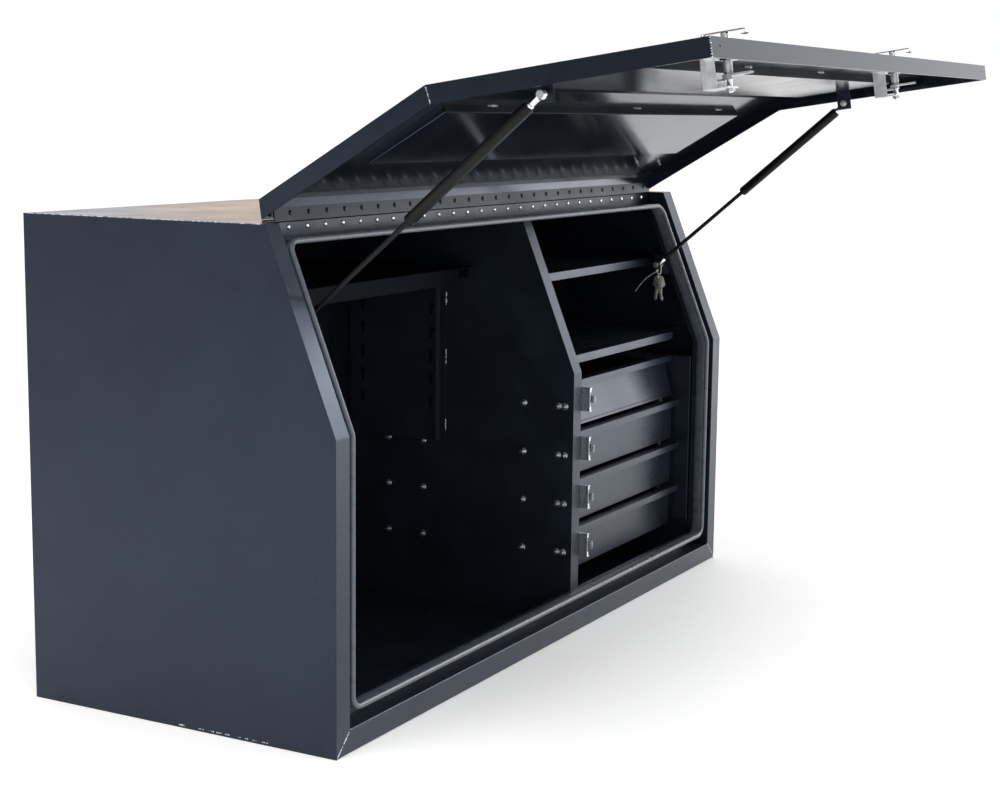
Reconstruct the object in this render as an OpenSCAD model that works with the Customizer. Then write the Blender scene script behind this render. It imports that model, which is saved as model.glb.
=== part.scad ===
// Aluminium toolbox with a lift-up cranked lid on a long hinge, two gas struts, two T-handle latches,
// a bank of four drawers, shelves and a keyhole board. Millimetres, +Z up, lid standing open.
// Every module is written in the box's own frame: X from the left side, Y from the front, Z from the
// floor. placed() then puts the origin at the centre of the footprint.

/* [Box] */
// Width of the box over its side panels
box_w = 1500; // [1300:10:1700]
// Depth of the box from front rim to back
box_d = 600; // [580:10:700]
// Height of the box
box_h = 805; // [790:5:830]
// Height at which the front starts to lean back
knee_h = 492; // [480:2:500]
// How far the front leans back between knee and top
lean_run = 126; // [110:2:132]
// Thickness of the box sheet
sheet = 2.5; // [2:0.5:3]

/* [Front rim] */
// Width of the flat rim round the opening
rim_w = 38; // [30:1:38]
// Depth of the rain gutter behind the rim
gutter_d = 40; // [38:1:42]
// Width of the gutter channel from rim to inner lip
gutter_w = 19; // [18:0.5:22]
// Depth at which the inner lip ends behind the front
lip_front = 12; // [12:0.5:14]
// Drop of the lip under the header below the top
header_drop = 27; // [25:1:34]
// Thickness of the header sheet
header_sheet = 2.5; // [2:0.5:3]

/* [Seal] */
// Half the width of the seal's nose, pressed flat
bulb_r = 4.6; // [3:0.1:4.6]
// Length of the seal's clip along the lip
clip_len = 17; // [10:1:20]
// Thickness of each side of the clip
clip_wall = 1.2; // [0.8:0.1:1.4]

/* [Lid] */
// Side clearance between lid and rim
lid_side_gap = 3; // [2:0.5:5]
// Height of the lid's lower edge
lid_low_z = 55; // [52:1:57]
// Depth of the lid's folded edges
lid_flange = 28; // [20:1:30]
// Thickness of the lid sheet
lid_sheet = 2.5; // [2:0.5:2.5]
// Angle the lid turns from shut to open
lid_angle = 98.5; // [90:0.5:100]
// Distance of the stiffening pans from the side of the box
pan_side = 160; // [150:5:200]
// Height of the stiffening pans
pan_rise = 12.5; // [8:0.5:15]
// Thickness of the pan sheet
pan_sheet = 2; // [1:0.5:2]
// Lower edge of the lower pan
low_pan_z0 = 212; // [208:2:230]
// Upper edge of the lower pan
low_pan_z1 = 400; // [380:2:420]
// Start of the upper pan above the knee, along the slope
high_pan_s0 = 49; // [40:1:60]
// End of the upper pan above the knee, along the slope
high_pan_s1 = 208; // [190:1:215]

/* [Hinge] */
// Distance of the hinge's left end from the side of the box
hinge_x0 = 45; // [44:0.5:47]
// Distance of the first rivet from the hinge's left end
rivet_in = 16.5; // [13:0.5:20]
// Distance of the last rivet from the hinge's right end
rivet_out = 30; // [26:0.5:34]
// Distance of the hinge pin behind the front
hinge_y = 160.6; // [160:0.1:162]
// Radius of the hinge knuckles
knuckle_r = 3; // [2.8:0.1:3]
// Radius of the hinge pin
pin_r = 1.5; // [1:0.1:1.6]
// Thickness of the hinge leaves
leaf_t = 1.5; // [1:0.1:1.6]
// Width of each hinge leaf
leaf_w = 20; // [18:1:22]
// Number of hinge rivets in a row
rivet_n = 28; // [20:1:30]
// Radius of the rivet heads
rivet_head_r = 4; // [3:0.2:4.4]
// Radius of the rivet shanks
rivet_r = 2.4; // [2:0.1:2.4]

/* [Struts] */
// Distance of each strut from the side of the box
strut_side = 82; // [80:1:90]
// Distance of the lower ball behind the gutter's back
strut_wall_in = 11.3; // [10:0.1:14]
// Height of the lower ball
strut_wall_z = 650; // [645:1:655]
// Depth of the upper ball behind the shut lid's face
strut_lid_y = 36; // [34:1:38]
// Height of the upper ball with the lid shut
strut_lid_z = 330; // [325:1:335]
// Length of the strut's cylinder
cyl_len = 262; // [250:1:265]
// Radius of the strut's cylinder
cyl_r = 9.3; // [8:0.1:9.5]
// Radius of the strut's rod
rod_r = 4; // [3:0.1:4.2]
// Radius of the ball sockets
socket_r = 8.5; // [8:0.1:9]
// Radius of the ball studs
stud_r = 4; // [3:0.1:4]
// Length of the neck between a socket and the cylinder
neck_len = 25; // [20:1:28]

/* [Latches] */
// Distance of each latch from the side of the box
latch_side = 335; // [300:5:400]
// Height of the latch spindle with the lid shut
latch_z = 150; // [146:1:154]
// Length of the T-handle's bar
bar_len = 72; // [60:1:80]
// Distance of the bar from the lid's face
bar_stand = 30; // [26:1:34]
// Thickness of the bar
bar_t = 4; // [3:0.5:5]
// Radius of the spindle
spindle_r = 4; // [3:0.1:4.5]
// Length of the lever below the spindle
lever_reach = 36; // [30:1:40]

/* [Divider and shelves] */
// Distance of the divider from the left side
divider_x = 868; // [860:2:880]
// Width of the divider's front flange
divider_flange = 31.5; // [20:0.5:32]
// Thickness of the shelves
shelf_t = 2; // [1.5:0.5:3]
// Height of the upper shelf of the right bay
upper_shelf_z = 662; // [655:1:670]
// Front edge of the upper shelf
upper_shelf_y = 150; // [135:1:160]
// Height of the lower shelf of the right bay
lower_shelf_z = 510; // [505:1:520]
// Front edge of the lower shelf
lower_shelf_y = 70; // [62:1:80]
// Height of the front lips of the right shelves
shelf_lip = 16; // [12:1:20]
// Height of the shelf of the left bay
left_shelf_z = 677; // [672:1:690]
// Front edge of the left shelf
left_shelf_y = 262; // [255:1:268]
// Height of the left shelf's front lip
left_shelf_lip = 30; // [20:1:32]
// Length of the left shelf's front lip
left_lip_len = 810; // [780:5:820]

/* [Keyhole board] */
// Distance of the board's face from the divider
board_off = 12; // [10:1:16]
// Front edge of the board's face
board_y0 = 337; // [333:1:340]
// Distance of the board's face from the back of the box
board_back = 62; // [55:1:68]
// Lower edge of the board
board_z0 = 328; // [320:2:340]
// Lowest row of keyholes
keyhole_z = 409; // [400:1:412]
// Distance between rows of keyholes
keyhole_pitch = 47; // [40:1:48]
// Rows of keyholes
keyhole_n = 6; // [3:1:6]

/* [Drawers] */
// Distance of the drawer bank's side panel from the side of the box
side_in = 50; // [46:1:50]
// Front face of the drawers behind the box front
drawer_y = 79; // [77:1:84]
// Distance of the drawers' backs from the back of the box
drawer_back = 71; // [65:1:120]
// Height of the drawer fronts
drawer_h = 88; // [80:1:90]
// Height of the lowest drawer front above the floor
drawer_low_z = 83; // [82:1:85]
// Distance between the drawers
drawer_pitch = 95; // [92:0.5:96]
// Sheet of the drawers
drawer_sheet = 1.5; // [1:0.1:2]
// Reach of the pull lip ahead of the drawer front
pull_reach = 20; // [12:1:20]
// Height of the pull lip's turned-down edge
pull_drop = 13; // [8:1:14]
// How far the top drawer's front leans back
top_front_lean = 22; // [0:1:24]

/* [Slides] */
// Height of a slide
slide_h = 45; // [40:1:46]
// Thickness of a slide
slide_t = 12.7; // [12:0.1:12.7]
// Front end of the left slides
slide_y = 22; // [21:1:26]
// Distance of the left slides from the divider's flange
slide_in = 1.5; // [1:0.1:3]
// Height of the slides above their row of bolts
slide_rise = 11; // [9:0.5:12]
// Thickness of the strips behind the right-hand slides
packer_t = 11; // [8:0.5:12]
// Running gap between slide members
slide_gap = 0.4; // [0.2:0.1:0.5]

/* [Keys] */
// Height of a key
key_h = 52; // [40:1:56]
// Radius of a key's bow
key_bow_r = 13; // [10:0.5:14]

/* [Hidden] */
$fn = 48;

charcoal = [0.16, 0.18, 0.20];
inside_black = [0.08, 0.09, 0.10];
zinc = [0.80, 0.81, 0.82];
rubber = [0.12, 0.12, 0.13];
// Clearance of a hole over a fastener, and of a shaft in its bore
fit_gap = 0.05;
// Gap between pieces that pass one another
pass_gap = 0.3;
// Depth of a cut past the face that it goes through
over = 1;

lean = atan(lean_run / (box_h - knee_h));
lip_x = rim_w + gutter_w;
hinge_z = box_h;
lid_x0 = rim_w + lid_side_gap;
lid_x1 = box_w - lid_x0;
header_y = hinge_y + knuckle_r;
header_z = box_h - header_drop;
header_lip_z = header_z - header_sheet;
sill_lip_z = rim_w + gutter_w + header_sheet + 2 * sheet;
hinge_x1 = box_w - hinge_x0;
rivet_pitch = (hinge_x1 - hinge_x0 - rivet_in - rivet_out) / (rivet_n - 1);
board_y1 = box_d - board_back;

// Height of the knee at a given depth behind the front face
function knee_z(depth) = knee_h - depth * tan(lean / 2);

// Distance behind the front of a line at a given depth, at height z
function front_y(depth, z) =
    z <= knee_z(depth) ? depth : depth / cos(lean) + (z - knee_h) * tan(lean);

strut_wall_y = front_y(gutter_d, strut_wall_z) + strut_wall_in;

// Outline of a strip that follows the cranked front, from depth d0 to d1 and height z0 to z1
function strip(d0, d1, z0, z1) = [
    [d0, z0], [d0, knee_z(d0)], [front_y(d0, z1), z1],
    [front_y(d1, z1), z1], [d1, knee_z(d1)], [d1, z0]];

// Puts the box's own frame about the centre of the footprint
module placed() { translate([-box_w / 2, -box_d / 2, 0]) children(); }

// Turns the shut lid's frame about the hinge into the open lid's
module on_lid() {
    placed() translate([0, hinge_y, hinge_z]) rotate([-lid_angle, 0, 0])
        translate([0, -hinge_y, -hinge_z]) children();
}

// Extrudes a side-view outline from x0 to x1
module along_x(x0, x1) {
    translate([x0, 0, 0]) rotate([90, 0, 90]) linear_extrude(x1 - x0) children();
}

// A block given by its low and high corners
module block(low, high) { translate(low) cube(high - low); }

// A round bar along X from x0 to x1
module bar_x(x0, x1, y, z, r) { translate([x0, y, z]) rotate([0, 90, 0]) cylinder(h = x1 - x0, r = r); }

// A round bar along Y from y0 to y1
module bar_y(x, y0, y1, z, r) { translate([x, y1, z]) rotate([90, 0, 0]) cylinder(h = y1 - y0, r = r); }

// Mirrors a piece to the other side of the box
module other_side() { translate([box_w, 0, 0]) mirror([1, 0, 0]) children(); }

// Side panel with the rim folded from it, mitred at the sill
module side_panel() {
    along_x(0, sheet)
        polygon([[0, 0], [box_d, 0], [box_d, box_h], [lean_run, box_h], [0, knee_h]]);
    intersection() {
        union() {
            along_x(sheet, rim_w) polygon(strip(0, sheet, 0, box_h));
            along_x(rim_w - sheet, rim_w) polygon(strip(sheet, gutter_d - sheet, 0, box_h - sheet));
        }
        translate([0, box_d, 0]) rotate([90, 0, 0]) linear_extrude(box_d)
            polygon([[sheet, sheet], [rim_w, rim_w], [rim_w, box_h], [sheet, box_h]]);
    }
}
module left_side_panel() { color(charcoal) placed() side_panel(); }
module right_side_panel() { color(charcoal) placed() other_side() side_panel(); }

module top_panel() {
    tab_y = front_y(sheet, box_h);
    color(charcoal) placed() translate([0, 0, box_h - sheet]) linear_extrude(sheet)
        polygon([[sheet, tab_y], [rim_w, tab_y], [rim_w, header_y], [box_w - rim_w, header_y],
            [box_w - rim_w, tab_y], [box_w - sheet, tab_y], [box_w - sheet, box_d], [sheet, box_d]]);
}

module back_panel() {
    color(charcoal) placed()
        block([sheet, box_d - sheet, sheet], [box_w - sheet, box_d, box_h - sheet]);
}

// Floor with the sill folded up from it: front face and level top
module floor_panel() {
    color(charcoal) placed() {
        block([sheet, 0, 0], [box_w - sheet, box_d, sheet]);
        translate([0, sheet, 0]) rotate([90, 0, 0]) linear_extrude(sheet)
            polygon([[sheet, 0], [sheet, sheet], [rim_w, rim_w], [box_w - rim_w, rim_w],
                [box_w - sheet, sheet], [box_w - sheet, 0]]);
        block([rim_w, 0, rim_w - sheet], [box_w - rim_w, gutter_d, rim_w]);
    }
}

// Back wall and inner lip of the gutter up one side
module side_gutter() {
    along_x(rim_w - sheet, lip_x) polygon(strip(gutter_d - sheet, gutter_d, rim_w, header_lip_z));
    along_x(lip_x - sheet, lip_x)
        polygon(strip(lip_front, gutter_d - sheet, sill_lip_z, header_lip_z));
}
module left_gutter() { color(charcoal) placed() side_gutter(); }
module right_gutter() { color(charcoal) placed() other_side() side_gutter(); }

module sill_gutter() {
    color(charcoal) placed() {
        block([lip_x, gutter_d - sheet, rim_w], [box_w - lip_x, gutter_d, sill_lip_z]);
        block([lip_x - sheet, lip_front, sill_lip_z - sheet],
            [box_w - lip_x + sheet, gutter_d - sheet, sill_lip_z]);
    }
}

// Places children at every hinge rivet along X
rivet_x0 = hinge_x0 + rivet_in;
module at_rivets() { for (i = [0 : rivet_n - 1]) translate([rivet_x0 + i * rivet_pitch, 0, 0]) children(); }

body_rivet_z = hinge_z - leaf_w / 2 - 1;
lid_rivet_y = hinge_y - leaf_w / 2 - 1;

// Header behind the hinge, with the lip that carries the top of the seal
module header() {
    back_y = gutter_d - sheet;
    color(charcoal) placed() difference() {
        union() {
            block([rim_w, header_y, header_lip_z], [box_w - rim_w, header_y + header_sheet, box_h - sheet]);
            block([rim_w, front_y(back_y, header_lip_z), header_lip_z],
                [box_w - rim_w, header_y + header_sheet, header_z]);
            block([lip_x - sheet, front_y(lip_front, header_lip_z), header_lip_z],
                [box_w - lip_x + sheet, header_y, header_z]);
            block([rim_w, header_y, box_h - 2 * sheet], [box_w - rim_w, header_y + leaf_w, box_h - sheet]);
        }
        at_rivets() bar_y(0, header_y - over, header_y + header_sheet + over, body_rivet_z,
            rivet_r + fit_gap);
    }
}

// Seal round the opening: a soft nose ahead of each lip and a clip over the lip's two faces
nose_d0 = lid_sheet + pass_gap;
nose_half = bulb_r;
module seal_side() {
    along_x(lip_x - sheet / 2 - nose_half, lip_x - sheet / 2 + nose_half)
        polygon(strip(nose_d0, lip_front, sill_lip_z - sheet / 2 - nose_half, header_lip_z));
    for (x = [lip_x - sheet - clip_wall, lip_x])
        along_x(x, x + clip_wall)
            polygon(strip(lip_front - over, lip_front + clip_len, sill_lip_z, header_lip_z));
}

// One level run of the seal on a lip from height z0 to z1, behind the front by lip_front
module seal_level(z0, z1) {
    mid = (z0 + z1) / 2;
    y = front_y(lip_front, z0);
    nose_y = front_y(nose_d0, mid + nose_half);
    block([lip_x, nose_y, mid - nose_half], [box_w - lip_x, y, mid + nose_half]);
    for (z = [z0 - clip_wall, z1])
        block([lip_x, y - over, z], [box_w - lip_x, y + clip_len, z + clip_wall]);
}

module door_seal() {
    color(rubber) placed() {
        seal_side();
        other_side() seal_side();
        seal_level(sill_lip_z - sheet, sill_lip_z);
        seal_level(header_lip_z, header_z);
    }
}

// Divider between the bays, with a flange along its front edge
divider_x1 = divider_x + sheet;
module divider_panel() {
    top_z = header_lip_z - pass_gap;
    color(inside_black) placed() difference() {
        union() {
            along_x(divider_x, divider_x1)
                polygon([[gutter_d, sheet], [gutter_d, knee_z(gutter_d)], [front_y(gutter_d, top_z), top_z],
                    [header_y + leaf_w + pass_gap, top_z], [header_y + leaf_w + pass_gap, box_h - sheet],
                    [box_d - sheet, box_h - sheet], [box_d - sheet, sheet]]);
            along_x(divider_x1, divider_x + divider_flange)
                polygon(strip(gutter_d, gutter_d + sheet, sheet, top_z));
        }
        at_bolts() bar_x(divider_x - over, divider_x1 + over, 0, 0, bolt_r + fit_gap);
    }
}

// A shelf with a turned-down lip in front and turned-down sides that it is fixed by
module shelf(x0, x1, y0, z, lip) {
    side = 14;
    block([x0, y0, z - shelf_t], [x1, box_d - sheet, z]);
    block([x0, y0, z - lip], [x1, y0 + shelf_t, z]);
    for (x = [x0, x1 - shelf_t]) block([x, y0, z - side], [x + shelf_t, box_d - sheet, z]);
}
module upper_shelf() {
    color(charcoal) placed() shelf(divider_x1, box_w - sheet, upper_shelf_y, upper_shelf_z, shelf_lip);
}
// The lower shelf is notched in front so that the shut strut passes it
module lower_shelf() {
    notch_x = box_w - strut_side - cyl_r - 6;
    notch_y = strut_wall_y - 20;
    color(charcoal) placed() difference() {
        shelf(divider_x1, box_w - sheet, lower_shelf_y, lower_shelf_z, shelf_lip);
        block([notch_x, lower_shelf_y - over, lower_shelf_z - 2 * shelf_lip],
            [box_w - sheet + over, notch_y, lower_shelf_z + over]);
    }
}

module left_shelf() {
    color(charcoal) placed() {
        block([sheet, left_shelf_y, left_shelf_z - shelf_t], [divider_x, box_d - sheet, left_shelf_z]);
        block([sheet, left_shelf_y, left_shelf_z - left_shelf_lip],
            [sheet + left_lip_len, left_shelf_y + shelf_t, left_shelf_z]);
    }
}

// Angles under the left shelf: a long one on the side panel, a short one on the divider
module left_shelf_brackets() {
    leg = 20;
    top = left_shelf_z - shelf_t;
    y0 = left_shelf_y + leg / 2;
    color(charcoal) placed() {
        block([sheet, y0, top - leg], [sheet + shelf_t, board_y1, top]);
        block([sheet, y0, top - shelf_t], [sheet + leg, board_y1, top]);
        block([divider_x - shelf_t, y0, top - leg], [divider_x, y0 + 2 * leg, top]);
        block([divider_x - leg, y0, top - shelf_t], [divider_x, y0 + 2 * leg, top]);
    }
}

// Hat-section board on the divider, with two columns of keyholes for hooks
module keyhole_board() {
    flange = 15;
    hole_r = 7;
    slot_r = 3.5;
    drop = 15;
    top = left_shelf_z - shelf_t - pass_gap;
    face_x = divider_x - board_off;
    column_in = 14;
    color(inside_black) placed() difference() {
        union() {
            block([face_x, board_y0, board_z0], [face_x + shelf_t, board_y1, top]);
            for (y = [board_y0, board_y1 - shelf_t])
                block([face_x, y, board_z0], [divider_x, y + shelf_t, top]);
            block([divider_x - shelf_t, board_y0 - flange, board_z0], [divider_x, board_y0, top]);
            block([divider_x - shelf_t, board_y1, board_z0], [divider_x, board_y1 + flange, top]);
        }
        for (y = [board_y0 + column_in, board_y1 - 2 * column_in], row = [0 : keyhole_n - 1])
            translate([face_x - over, y, keyhole_z + row * keyhole_pitch]) {
                rotate([0, 90, 0]) cylinder(h = shelf_t + 2 * over, r = hole_r);
                translate([0, -slot_r, -drop]) cube([shelf_t + 2 * over, 2 * slot_r, drop]);
                translate([0, 0, -drop]) rotate([0, 90, 0]) cylinder(h = shelf_t + 2 * over, r = slot_r);
            }
    }
}

// Drawer bank. Drawer 1 is the top one.
left_slide_x = divider_x + divider_flange + slide_in;
side_panel_x = box_w - side_in;
right_slide_x = side_panel_x - packer_t;
drawer_x = left_slide_x + slide_t;
drawer_x1 = right_slide_x - slide_t;
front_cover = 7;
right_slide_y = drawer_y + top_front_lean + front_cover;
drawer_len = box_d - drawer_y - drawer_back;
slide_len = drawer_len;
bolt_rise = 8;
function drawer_z(n) = drawer_low_z + (4 - n) * drawer_pitch;
function bolt_z(n) = drawer_z(n) + drawer_h / 2 + bolt_rise;
function slide_z(n) = bolt_z(n) + slide_rise;

// Panel that carries the right-hand slides, folded over at the top to reach the side of the box. Its
// front is folded round to a post that covers the ends of the packers.
module drawer_side_panel() {
    top = drawer_z(1) + drawer_h - 2;
    front = gutter_d + sheet;
    slide_clear = 1;
    post_x = right_slide_x + slide_clear;
    post_z0 = drawer_low_z + 7;
    color(charcoal) placed() {
        block([side_panel_x, front, sheet], [side_panel_x + sheet, box_d - sheet, top]);
        block([side_panel_x, front, top - sheet], [box_w - sheet, box_d - sheet, top]);
        block([post_x, front, post_z0], [side_panel_x, front + sheet, top]);
        block([post_x, front, post_z0], [post_x + sheet, right_slide_y, top]);
    }
}

// Tubes that hold the left slides off the divider and strips that hold the right ones off their panel
packer_wall = 3;
packer_in = 2.5;
packer_short = 5;
module slide_packers() {
    half_h = 20;
    y0 = gutter_d + sheet + packer_in;
    y1 = slide_y + slide_len - packer_short;
    color(inside_black) placed() for (n = [1 : 4]) {
        difference() {
            block([divider_x1, y0, slide_z(n) - half_h], [left_slide_x, y1, slide_z(n) + half_h]);
            block([divider_x1 + packer_wall, y0 - over, slide_z(n) - half_h + packer_wall],
                [left_slide_x - packer_wall, y1 + over, slide_z(n) + half_h - packer_wall]);
            for (y = bolt_places(n))
                bar_x(divider_x1 - over, divider_x1 + packer_wall + over, y, bolt_z(n), bolt_r + fit_gap);
        }
        block([right_slide_x, right_slide_y + packer_in, slide_z(n) - half_h],
            [side_panel_x, right_slide_y + slide_len - packer_short, slide_z(n) + half_h]);
    }
}

// Bolts that hold the packers: their places as shares of the slide's length, fewer on the top row
bolt_r = 3;
top_shares = [0.08, 0.111, 0.278];
row_shares = [0.08, 0.111, 0.278, 0.78, 0.96];
function bolt_places(n) = [for (share = n == 1 ? top_shares : row_shares) slide_y + share * slide_len];
module at_bolts() { for (n = [1 : 4], y = bolt_places(n)) translate([0, y, bolt_z(n)]) children(); }

nut_r = 6;
nut_t = 5;
module slide_bolts() {
    thread_end = 11;
    head_t = 2.5;
    color(zinc) placed() at_bolts() {
        bar_x(divider_x - thread_end, divider_x1 + packer_wall + head_t, 0, 0, bolt_r);
        bar_x(divider_x1 + packer_wall, divider_x1 + packer_wall + head_t, 0, 0, bolt_r + 2);
    }
}
module slide_nuts() {
    color(zinc) placed() at_bolts() translate([divider_x - nut_t, 0, 0]) rotate([0, 90, 0])
        difference() {
            cylinder(h = nut_t, r = nut_r, $fn = 6);
            translate([0, 0, -over]) cylinder(h = nut_t + 2 * over, r = bolt_r + fit_gap);
        }
}

// Slide members in section: outer channel, middle channel with its ball rows, inner channel
slide_wall = 1.3;
outer_in = slide_h / 2 - slide_wall;
race = 7;
middle_out = outer_in - slide_gap;
inner_out = middle_out - race - slide_gap;
module outer_section() {
    polygon([[0, -slide_h / 2], [slide_t - 3, -slide_h / 2], [slide_t - 3, -outer_in], [slide_wall, -outer_in],
        [slide_wall, outer_in], [slide_t - 3, outer_in], [slide_t - 3, slide_h / 2], [0, slide_h / 2]]);
}
module middle_section() {
    u0 = slide_wall + slide_gap;
    u1 = slide_t - 3;
    polygon([[u0, -middle_out], [u1, -middle_out], [u1, -middle_out + race], [u0 + slide_wall, -middle_out + race],
        [u0 + slide_wall, middle_out - race], [u1, middle_out - race], [u1, middle_out], [u0, middle_out]]);
}
module inner_section() {
    u0 = 2 * (slide_wall + slide_gap);
    polygon([[slide_t, -inner_out], [u0, -inner_out], [u0, -inner_out + slide_wall],
        [slide_t - slide_wall, -inner_out + slide_wall], [slide_t - slide_wall, inner_out - slide_wall],
        [u0, inner_out - slide_wall], [u0, inner_out], [slide_t, inner_out]]);
}

// A slide member pair for drawer n, set back by some distance from each slide's front end. The section
// points from the fixed side towards the drawer.
module slide_pair(n, back, length) {
    translate([left_slide_x, slide_y + back + length, slide_z(n)]) rotate([90, 0, 0])
        linear_extrude(length) children();
    translate([right_slide_x, right_slide_y + back + length, slide_z(n)]) mirror([1, 0, 0])
        rotate([90, 0, 0]) linear_extrude(length) children();
}
module slide_outer_members() {
    color(zinc) placed() for (n = [1 : 4]) slide_pair(n, 0, slide_len) outer_section();
}
module slide_middle(n) {
    end_in = 2;
    color(zinc) placed() slide_pair(n, end_in, slide_len - 2 * end_in) middle_section();
}
// The left runner has a catch tab that reaches out past the slide's front end
module drawer_runners(n) {
    front_in = 6;
    back_in = 1;
    tab_reach = 5;
    tab_half = 7;
    color(zinc) placed() {
        slide_pair(n, front_in, slide_len - front_in - back_in) inner_section();
        block([drawer_x - slide_wall, slide_y - tab_reach, slide_z(n) - tab_half],
            [drawer_x, slide_y + front_in, slide_z(n) + tab_half]);
    }
}

// A drawer: tray, front and pull lip welded into one piece
module drawer(n) {
    z0 = drawer_z(n);
    z1 = z0 + drawer_h;
    back = n == 1 ? top_front_lean : 0;
    side_top = z1 - 12;
    tray_z = z0 + 5;
    y1 = drawer_y + drawer_len;
    t = drawer_sheet;
    color(charcoal) placed() {
        along_x(drawer_x, drawer_x1)
            polygon([[drawer_y, z0], [drawer_y + t, z0], [drawer_y + back + t, z1 - t],
                [drawer_y + back + t, z1], [drawer_y + back - pull_reach, z1],
                [drawer_y + back - pull_reach, z1 - pull_drop], [drawer_y + back - pull_reach + t, z1 - pull_drop],
                [drawer_y + back - pull_reach + t, z1 - t], [drawer_y + back, z1 - t]]);
        block([drawer_x, drawer_y, tray_z], [drawer_x1, y1, tray_z + t]);
        block([drawer_x, y1 - t, tray_z], [drawer_x1, y1, side_top]);
        for (x = [drawer_x, drawer_x1 - t])
            along_x(x, x + t)
                polygon([[drawer_y + t / 2, tray_z], [y1, tray_z], [y1, side_top],
                    [drawer_y + t / 2 + back * (side_top - z0) / drawer_h, side_top]]);
    }
}

// Hinge: knuckles of the two leaves take turns along one pin
knuckle_len = rivet_pitch / 2;

// One leaf's knuckles, the first at x0
module knuckles(x0) {
    for (i = [0 : rivet_n - 1])
        bar_x(x0 + i * rivet_pitch + pass_gap / 2,
            min(x0 + i * rivet_pitch + knuckle_len - pass_gap / 2, hinge_x1), hinge_y, hinge_z, knuckle_r);
}

// Windows in a leaf for the other leaf's knuckles
module windows(x0) {
    reach = knuckle_r + pass_gap;
    for (i = [0 : rivet_n - 1])
        block([x0 + i * rivet_pitch - pass_gap / 2, hinge_y - reach, hinge_z - reach],
            [x0 + i * rivet_pitch + knuckle_len + pass_gap / 2, hinge_y + reach, hinge_z + reach]);
}

module pin_bore() { bar_x(hinge_x0 - over, hinge_x1 + over, hinge_y, hinge_z, pin_r + fit_gap); }

module body_hinge_leaf() {
    color(charcoal) placed() difference() {
        union() {
            difference() {
                block([hinge_x0, hinge_y + knuckle_r - leaf_t, hinge_z - leaf_w],
                    [hinge_x1, hinge_y + knuckle_r, hinge_z]);
                windows(hinge_x0 + knuckle_len);
            }
            knuckles(hinge_x0);
        }
        pin_bore();
        at_rivets() bar_y(0, hinge_y, header_y + over, body_rivet_z, rivet_r + fit_gap);
    }
}

module lid_hinge_leaf() {
    leaf_top = hinge_z - lid_sheet;
    color(charcoal) on_lid() difference() {
        union() {
            difference() {
                block([hinge_x0 + knuckle_len, hinge_y - leaf_w, leaf_top - leaf_t],
                    [hinge_x1, hinge_y, leaf_top]);
                windows(hinge_x0);
            }
            knuckles(hinge_x0 + knuckle_len);
        }
        pin_bore();
        at_rivets() translate([0, lid_rivet_y, leaf_top - leaf_t - over])
            cylinder(h = leaf_t + 2 * over, r = rivet_r + fit_gap);
    }
}

module hinge_pin() {
    color(zinc) placed() bar_x(hinge_x0 + over, hinge_x1 - over, hinge_y, hinge_z, pin_r);
}

// A domed rivet pointing up Z: the head under the origin, the shank and its set end above
module rivet(grip) {
    head_h = 2;
    tail_r = rivet_r + 0.8;
    translate([0, 0, -head_h]) intersection() {
        cylinder(h = head_h, r = rivet_head_r);
        translate([0, 0, rivet_head_r + head_h / 2]) sphere(r = rivet_head_r + head_h / 2);
    }
    cylinder(h = grip, r = rivet_r);
    translate([0, 0, grip]) cylinder(h = 1, r = tail_r);
}

module body_hinge_rivets() {
    color(zinc) placed() at_rivets() translate([0, header_y - leaf_t, body_rivet_z])
        rotate([-90, 0, 0]) rivet(leaf_t + header_sheet);
}
module lid_hinge_rivets() {
    color(zinc) on_lid() at_rivets() translate([0, lid_rivet_y, hinge_z - lid_sheet - leaf_t])
        rivet(leaf_t + lid_sheet);
}

// Lid: one folded sheet with edges turned in all round
latch_x = [latch_side, box_w - latch_side];
drain_in = 31;
module lid_skin() {
    lid_top_y = hinge_y - knuckle_r - pass_gap - 0.3;
    drain_r = 2;
    color(charcoal) on_lid() difference() {
        union() {
            along_x(lid_x0, lid_x1) polygon(strip(0, lid_sheet, lid_low_z, box_h));
            for (x = [lid_x0, lid_x1 - lid_sheet])
                along_x(x, x + lid_sheet) polygon(strip(0, lid_flange, lid_low_z, box_h));
            block([lid_x0, 0, lid_low_z], [lid_x1, lid_flange, lid_low_z + lid_sheet]);
            block([lid_x0, front_y(0, box_h), box_h - lid_sheet], [lid_x1, lid_top_y, box_h]);
        }
        at_rivets() translate([0, lid_rivet_y, box_h - lid_sheet - over])
            cylinder(h = lid_sheet + 2 * over, r = rivet_r + fit_gap);
        for (x = latch_x) bar_y(x, -over, lid_sheet + over, latch_z, barrel_r + fit_gap);
        for (x = [lid_x0 + drain_in, lid_x1 - drain_in])
            translate([x, lip_front, lid_low_z - over]) cylinder(h = lid_sheet + 2 * over, r = drain_r);
    }
}

// A stiffening pan in its own frame: width along X, height along Y, rise along Z
module pan(height) {
    width = box_w - 2 * pan_side;
    difference() {
        cube([width, height, pan_rise]);
        translate([pan_sheet, pan_sheet, -over])
            cube([width - 2 * pan_sheet, height - 2 * pan_sheet, pan_rise - pan_sheet + over]);
    }
}
module lower_lid_pan() {
    color(charcoal) on_lid() translate([pan_side, lid_sheet, low_pan_z1]) rotate([-90, 0, 0])
        pan(low_pan_z1 - low_pan_z0);
}
module upper_lid_pan() {
    color(charcoal) on_lid() translate([pan_side, lid_sheet, knee_z(lid_sheet)]) rotate([-lean, 0, 0])
        translate([0, 0, high_pan_s1]) rotate([-90, 0, 0]) pan(high_pan_s1 - high_pan_s0);
}

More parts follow.
